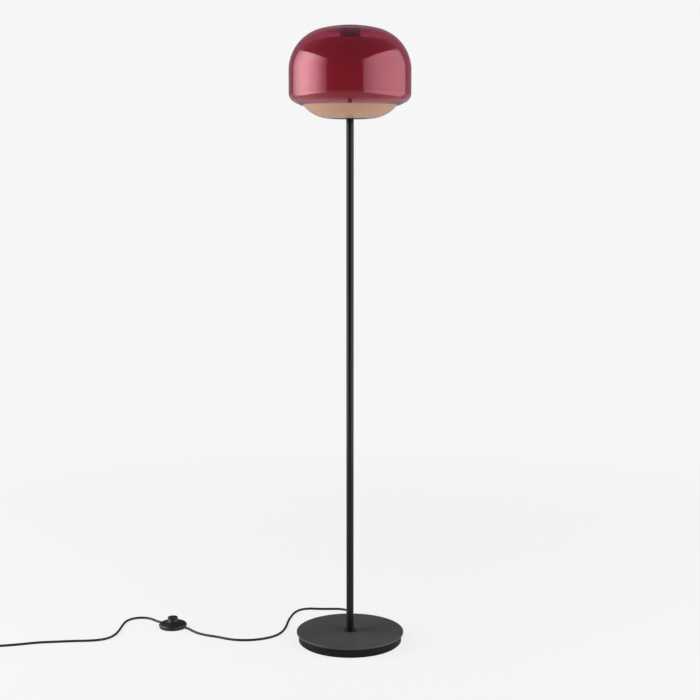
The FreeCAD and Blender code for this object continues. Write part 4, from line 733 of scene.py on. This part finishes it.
def cross_screw(place, length):
    """A pan-head screw whose head points down, with a cross cut into it."""
    x, y, low = place
    neck = low + SCREW_HEAD_HEIGHT
    outline = softened([
        (0, low, 0), (SCREW_HEAD, low, 0.0006), (SCREW_HEAD, neck, 0.0001), (SCREW_SHANK, neck, 0),
        (SCREW_SHANK, neck + length, 0.0003), (0, neck + length, 0)], 4)
    screw = placed("screw", turned_mesh("screw", outline, (x, y), 40))
    cutter = bmesh.new()
    arm, thick = CROSS_ARM, CROSS_HALF_WIDTH
    cross = [(arm, -thick), (arm, thick), (thick, thick), (thick, arm), (-thick, arm),
             (-thick, thick), (-arm, thick), (-arm, -thick), (-thick, -thick), (-thick, -arm),
             (thick, -arm), (thick, -thick)]
    corners = [cutter.verts.new((x + a, y + b, low - CUTTER_BELOW)) for a, b in cross]
    face = cutter.faces.new(corners)
    raised = bmesh.ops.extrude_face_region(cutter, geom=[face])
    lifted = [item for item in raised["geom"] if isinstance(item, bmesh.types.BMVert)]
    bmesh.ops.translate(cutter, verts=lifted, vec=(0, 0, CUTTER_BELOW + CROSS_DEPTH))
    bmesh.ops.recalc_face_normals(cutter, faces=cutter.faces)
    cutter_mesh = bpy.data.meshes.new("cross")
    cutter.to_mesh(cutter_mesh)
    cutter.free()
    knife = placed("cross", cutter_mesh)
    cut = screw.modifiers.new("recess", "BOOLEAN")
    cut.solver = "EXACT"
    cut.object = knife
    mesh = evaluated_mesh(screw, "cross_screw")
    bpy.data.objects.remove(knife)
    return mesh


# %% Screws of the base cover and of the switch
THIRD = math.tau / 3
COVER_SCREW_CIRCLE = 0.050
COVER_SCREW_FACE = 0.0008
COVER_SCREW_LENGTH = 0.0102
SWITCH_SCREW_LENGTH = 0.0055
cover_screw = cross_screw((COVER_SCREW_CIRCLE, 0, COVER_SCREW_FACE), COVER_SCREW_LENGTH)
finished("cover_screws_crossed",
         repeated("cover_screws", cover_screw, SLOT_FINISHES["zinc_steel"], Count=3, Turn=THIRD),
         SLOT_FINISHES["zinc_steel"], "lamp", slots["base_cover_screws"], "base_cover_screws")
SWITCH_SCREW_CIRCLE = 0.026
SWITCH_SCREW_FACE = 0.001
first = SWITCH_TURN + math.pi / 2
screw_spot = (SWITCH_SCREW_CIRCLE * math.cos(first), SWITCH_SCREW_CIRCLE * math.sin(first),
              SWITCH_SCREW_FACE)
finished("switch_screws_crossed",
         repeated("switch_screws", cross_screw(screw_spot, SWITCH_SCREW_LENGTH),
                  SLOT_FINISHES["zinc_steel"], Count=3, Turn=THIRD, Start=tuple(SWITCH_CENTRE)),
         SLOT_FINISHES["zinc_steel"], "lamp", slots["switch_base_screws"], "switch_base_screws")

# %% Ribs of the base's strain relief
RELIEF_ROOT, RELIEF_TIP_RADIUS, RELIEF_LENGTH = 0.0046, 0.0037, 0.026
RIB_COUNT, RIB_STEP, RIB_RADIUS, RIB_SIDES = 6, 0.0038, 0.0006, 12
FIRST_RIB = 0.003
relief_start = RELIEF_TIP[1] - RELIEF_LENGTH
first_rib = relief_start + FIRST_RIB


def rib_mesh(radius):
    """A thin ring round the Y axis."""
    shape = bmesh.new()
    ring = [shape.verts.new((radius + RIB_RADIUS * math.cos(a), RIB_RADIUS * 1.2 * math.sin(a), 0))
            for a in (math.tau * step / RIB_SIDES for step in range(RIB_SIDES))]
    edges = [shape.edges.new((ring[i - 1], ring[i])) for i in range(RIB_SIDES)]
    bmesh.ops.spin(shape, geom=ring + edges, cent=(0, 0, 0), axis=(0, 1, 0), angle=math.tau,
                   steps=48, use_duplicate=False)
    bmesh.ops.remove_doubles(shape, verts=shape.verts, dist=1e-6)
    bmesh.ops.recalc_face_normals(shape, faces=shape.faces)
    return smooth_mesh(shape, "rib")


taper = (RELIEF_TIP_RADIUS - RELIEF_ROOT) / RELIEF_LENGTH
rib_radius = RELIEF_ROOT + taper * (first_rib - relief_start)
finished("relief_ribs",
         repeated("relief_ribs", rib_mesh(rib_radius), SLOT_FINISHES["rubber"], Count=RIB_COUNT,
                  Start=(0, first_rib, RELIEF_TIP[2]), Step=(0, RIB_STEP, 0),
                  Growth=taper * RIB_STEP / rib_radius),
         SLOT_FINISHES["rubber"], "lamp", slots["cord_bush"])

# %% [markdown]
# ## Plug and tie
# The moulded plug swells from its strain relief to a flat front. Rings of a superellipse, a
# rounded rectangle with no straight sides, follow that swelling, and three dimples on each side
# give the fingers a hold. The tie is a soft woven strap with rounded bends, closed on itself on
# top.

# %% The plug's shell
PLUG_LENGTH = 0.036
PLUG_RELIEF_LENGTH = 0.024
PLUG_PINCH = 0.0009
PLUG_HALF_WIDTH, PLUG_WIDENS = 0.008, 0.0094      # at the rear, and what the front adds
PLUG_HALF_HEIGHT, PLUG_HEIGHTENS = 0.0055, 0.0013
PLUG_SWELL_LENGTH = 0.021
PLUG_EDGE = 0.0012
PLUG_DIMPLES, PLUG_DIMPLE_REACH = (0.023, 0.0275, 0.032), 0.0016
PLUG_ROUNDNESS = 0.55
plug_heading = coil_heading(last)
plug_across = Vector((-plug_heading.y, plug_heading.x, 0)).normalized()
plug_rear = coil_end + plug_heading * PLUG_RELIEF_LENGTH
plug_rear.z = PLUG_LIE


def plug_ring(along, half_width, half_height, count=64):
    """One closed ring of the shell, `along` metres from its rear end."""
    points = []
    for step in range(count):
        angle = math.tau * step / count
        c, s = math.cos(angle), math.sin(angle)
        x = half_width * math.copysign(abs(c) ** PLUG_ROUNDNESS, c)
        z = half_height * math.copysign(abs(s) ** PLUG_ROUNDNESS, s)
        points.append(plug_rear + plug_heading * along + plug_across * x + Vector((0, 0, z)))
    return points


def plug_mesh():
    shape = bmesh.new()
    rings = []
    between = [0.002 + 0.001 * step for step in range(33)]
    for along in (0.0, 0.0004, 0.0012, *between, 0.0352, 0.0358, PLUG_LENGTH):
        swell = eased(along / PLUG_SWELL_LENGTH)
        dent = sum(max(0.0, 1 - abs(along - middle) / PLUG_DIMPLE_REACH) for middle in PLUG_DIMPLES)
        rim = min(along, PLUG_LENGTH - along, PLUG_EDGE)
        inset = PLUG_EDGE - math.sqrt(PLUG_EDGE ** 2 - (PLUG_EDGE - rim) ** 2)
        half_width = PLUG_HALF_WIDTH + PLUG_WIDENS * swell - inset - PLUG_PINCH * eased(dent)
        half_height = PLUG_HALF_HEIGHT + PLUG_HEIGHTENS * swell - inset
        rings.append([shape.verts.new(p) for p in plug_ring(along, half_width, half_height)])
    for near, far in zip(rings, rings[1:]):
        for i in range(len(near)):
            shape.faces.new((near[i - 1], near[i], far[i], far[i - 1]))
    shape.faces.new(rings[0])
    shape.faces.new(rings[-1])
    bmesh.ops.recalc_face_normals(shape, faces=shape.faces)
    return smooth_mesh(shape, "plug_shell", sharp=40)


finished("plug_shell", plug_mesh(), SLOT_FINISHES["black_moulding"], "lamp",
         slots["plug_body"], "plug_body")

# %% The coil's tie
TIE_HALF_WIDTH = 0.006
TIE_SKIN = 0.0008
TIE_SLACK = 0.00015
TIE_BEND = 0.0016
TIE_REACH = CORD_DIAMETER / 2 + TIE_SLACK
tie_far = COIL_OUTER - COIL_PITCH / 2 + TIE_REACH
tie_bend_in = tie_far - 2 * TIE_REACH - (COIL_TURNS_PER_LAYER - 1) * COIL_PITCH
tie_near = math.sqrt(tie_bend_in ** 2 - TIE_HALF_WIDTH ** 2)
tie_low, tie_high = COIL_LOW - TIE_REACH, COIL_LOW + COIL_PITCH + TIE_REACH
tie_out = Vector((math.cos(COIL_START + math.pi), math.sin(COIL_START + math.pi), 0))
tie_side = Vector((-tie_out.y, tie_out.x, 0))


def tie_loop(grow, rounding):
    """A rounded rectangle round the turns, as (distance from the coil's middle, height) points."""
    near, far, low, high = tie_near - grow, tie_far + grow, tie_low - grow, tie_high + grow
    return softened([(near, low, rounding), (far, low, rounding),
                     (far, high, rounding), (near, high, rounding)], 8)


def tie_mesh():
    """The strap: an inner and an outer loop, joined along two softly rounded edges."""
    shape = bmesh.new()
    bands = []
    round_off = TIE_SKIN * 0.3
    flat = TIE_HALF_WIDTH - round_off
    for grow, side in ((0, -flat), (0, flat),
                       (TIE_SKIN * 0.35, TIE_HALF_WIDTH), (TIE_SKIN * 0.65, TIE_HALF_WIDTH),
                       (TIE_SKIN, flat), (TIE_SKIN, -flat),
                       (TIE_SKIN * 0.65, -TIE_HALF_WIDTH), (TIE_SKIN * 0.35, -TIE_HALF_WIDTH)):
        loop = tie_loop(grow, TIE_BEND + grow)
        middle = COIL_CENTRE + tie_side * side
        bands.append([shape.verts.new(middle + tie_out * x + Vector((0, 0, z))) for x, z in loop])
    for number, band in enumerate(bands):
        after = bands[(number + 1) % len(bands)]
        for i in range(len(band)):
            shape.faces.new((band[i - 1], band[i], after[i], after[i - 1]))
    bmesh.ops.recalc_face_normals(shape, faces=shape.faces)
    return smooth_mesh(shape, "tie_strap", sharp=50)


def woven_strap():
    """Fine crossing threads, in relief and in tone."""
    finish = Finish("woven_strap", (0.014, 0.014, 0.015), 0.8, Specular_IOR_Level=0.2)
    threads = finish.node("ShaderNodeTexVoronoi", Scale=1600.0)
    finish.join(finish.places(), threads.inputs["Vector"])
    tone = finish.blend(threads.outputs["Distance"], (0.008, 0.008, 0.009), (0.022, 0.022, 0.024))
    finish.join(tone, finish.shader.inputs["Base Color"])
    finish.bump(threads.outputs["Distance"], 0.6, 0.0002)
    return finish.material


finished("tie_strap", tie_mesh(), woven_strap(), "lamp", slots["coil_tie"], "coil_tie")

# %% [markdown]
# ## Floor, backdrop and light
# The studio is a pale floor that runs into a pale background. Two large soft boxes stand left and
# right of the lamp and draw the tall highlights on the glass. The room behind the camera is dim,
# and the world is darker there, so that the middle of the shade keeps its deep red.

# %% Pale world
PALE = from_srgb(246, 246, 246)
ROOM_BEHIND, ROOM_AHEAD = 0.10, 0.15      # behind the camera, and ahead of it
world = bpy.data.worlds.new("studio")
bpy.context.scene.world = world
world.use_nodes = True
sky = world.node_tree
background = sky.nodes["Background"]
background.inputs["Color"].default_value = (1, 1, 1, 1)
seen_background = add_node(sky, "ShaderNodeBackground", Color=(*PALE, 1))
path = add_node(sky, "ShaderNodeLightPath")
direct = add_node(sky, "ShaderNodeMath", operation="MAXIMUM")
sky.links.new(path.outputs["Is Camera Ray"], direct.inputs[0])
sky.links.new(path.outputs["Is Transmission Ray"], direct.inputs[1])
direction = add_node(sky, "ShaderNodeTexCoord")
split = add_node(sky, "ShaderNodeSeparateXYZ")
sky.links.new(direction.outputs["Generated"], split.inputs[0])
behind = add_node(sky, "ShaderNodeMapRange", interpolation_type="SMOOTHSTEP",
                  From_Min=-0.45, From_Max=0.35, To_Min=ROOM_BEHIND, To_Max=ROOM_AHEAD)
sky.links.new(split.outputs["Y"], behind.inputs["Value"])
sky.links.new(behind.outputs["Result"], background.inputs["Strength"])
chosen = add_node(sky, "ShaderNodeMixShader")
sky.links.new(direct.outputs[0], chosen.inputs[0])
sky.links.new(background.outputs[0], chosen.inputs[1])
sky.links.new(seen_background.outputs[0], chosen.inputs[2])
sky.links.new(chosen.outputs[0], sky.nodes["World Output"].inputs["Surface"])

# %% Pale floor
FLOOR_REACH = 14.0
FLOOR_IN_GLOSS = 0.35


def floor_finish():
    finish = Finish("pale_floor", (0.82, 0.82, 0.82), 0.9)
    paper = finish.blend(finish.noise(3.0, 2.0), (0.80, 0.80, 0.80), (0.84, 0.84, 0.84))
    finish.join(paper, finish.shader.inputs["Base Color"])
    glow = finish.node("ShaderNodeEmission", Color=(*PALE, 1))
    path = finish.node("ShaderNodeLightPath")
    seen = finish.node("ShaderNodeMath", operation="MAXIMUM")
    finish.join(path.outputs["Is Camera Ray"], seen.inputs[0])
    finish.join(path.outputs["Is Transmission Ray"], seen.inputs[1])
    far = finish.node("ShaderNodeVectorMath", operation="LENGTH")
    finish.join(finish.places(), far.inputs[0])
    fade = finish.node("ShaderNodeMapRange", From_Min=0.5, From_Max=2.5, To_Min=0.86, To_Max=1.0)
    finish.join(far.outputs["Value"], fade.inputs["Value"])
    mirrored = finish.node("ShaderNodeMath", operation="MULTIPLY")
    finish.join(path.outputs["Is Glossy Ray"], mirrored.inputs[0])
    mirrored.inputs[1].default_value = FLOOR_IN_GLOSS
    share = finish.node("ShaderNodeMath", operation="MULTIPLY_ADD")
    finish.join(seen.outputs[0], share.inputs[0])
    finish.join(fade.outputs["Result"], share.inputs[1])
    finish.join(mirrored.outputs[0], share.inputs[2])
    choice = finish.node("ShaderNodeMixShader")
    finish.join(share.outputs[0], choice.inputs[0])
    finish.join(finish.shader.outputs[0], choice.inputs[1])
    finish.join(glow.outputs[0], choice.inputs[2])
    finish.join(choice.outputs[0], finish.output.inputs["Surface"])
    return finish.material


floor_mesh = bpy.data.meshes.new("floor")
floor_mesh.from_pydata([(-FLOOR_REACH, -FLOOR_REACH, 0), (FLOOR_REACH, -FLOOR_REACH, 0),
                        (FLOOR_REACH, FLOOR_REACH, 0), (-FLOOR_REACH, FLOOR_REACH, 0)],
                       [], [(0, 1, 2, 3)])
floor_mesh.materials.append(floor_finish())
floor = placed("floor", floor_mesh)

# %% Soft boxes
EDGE_SHARE = 0.16


def soft_box(name, place, target, width, height, glow, spread):
    """A panel of light, brightest along its middle and fading over `spread` of its width."""
    light = bpy.data.lights.new(name, "AREA")
    light.shape = "RECTANGLE"
    light.size = width
    light.size_y = height
    light.energy = math.pi * width * height
    light.use_nodes = True
    tree = light.node_tree
    across = add_node(tree, "ShaderNodeNewGeometry")
    split = add_node(tree, "ShaderNodeSeparateXYZ")
    tree.links.new(across.outputs["Parametric"], split.inputs[0])
    offset = add_node(tree, "ShaderNodeMath", operation="SUBTRACT")
    tree.links.new(split.outputs["X"], offset.inputs[0])
    offset.inputs[1].default_value = 0.5
    away = add_node(tree, "ShaderNodeMath", operation="ABSOLUTE")
    tree.links.new(offset.outputs[0], away.inputs[0])
    fall = add_node(tree, "ShaderNodeMapRange", interpolation_type="SMOOTHSTEP",
                    From_Min=0.0, From_Max=spread, To_Min=glow, To_Max=glow * EDGE_SHARE)
    tree.links.new(away.outputs[0], fall.inputs["Value"])
    tree.links.new(fall.outputs["Result"], tree.nodes["Emission"].inputs["Strength"])
    box = placed(name, light)
    box.location = place
    box.rotation_euler = (Vector(target) - Vector(place)).to_track_quat("-Z", "Y").to_euler()


soft_box("left_box", place=(-2.4, -0.25, 1.48), target=(0, -0.25, 1.48),
         width=4.6, height=2.75, glow=5.6, spread=0.5)
soft_box("right_box", place=(1.715, -0.945, 1.40), target=(0.03, -0.725, 1.40),
         width=4.55, height=2.6, glow=3.1, spread=0.7)

# %% Finish
bpy.context.view_layer.update()
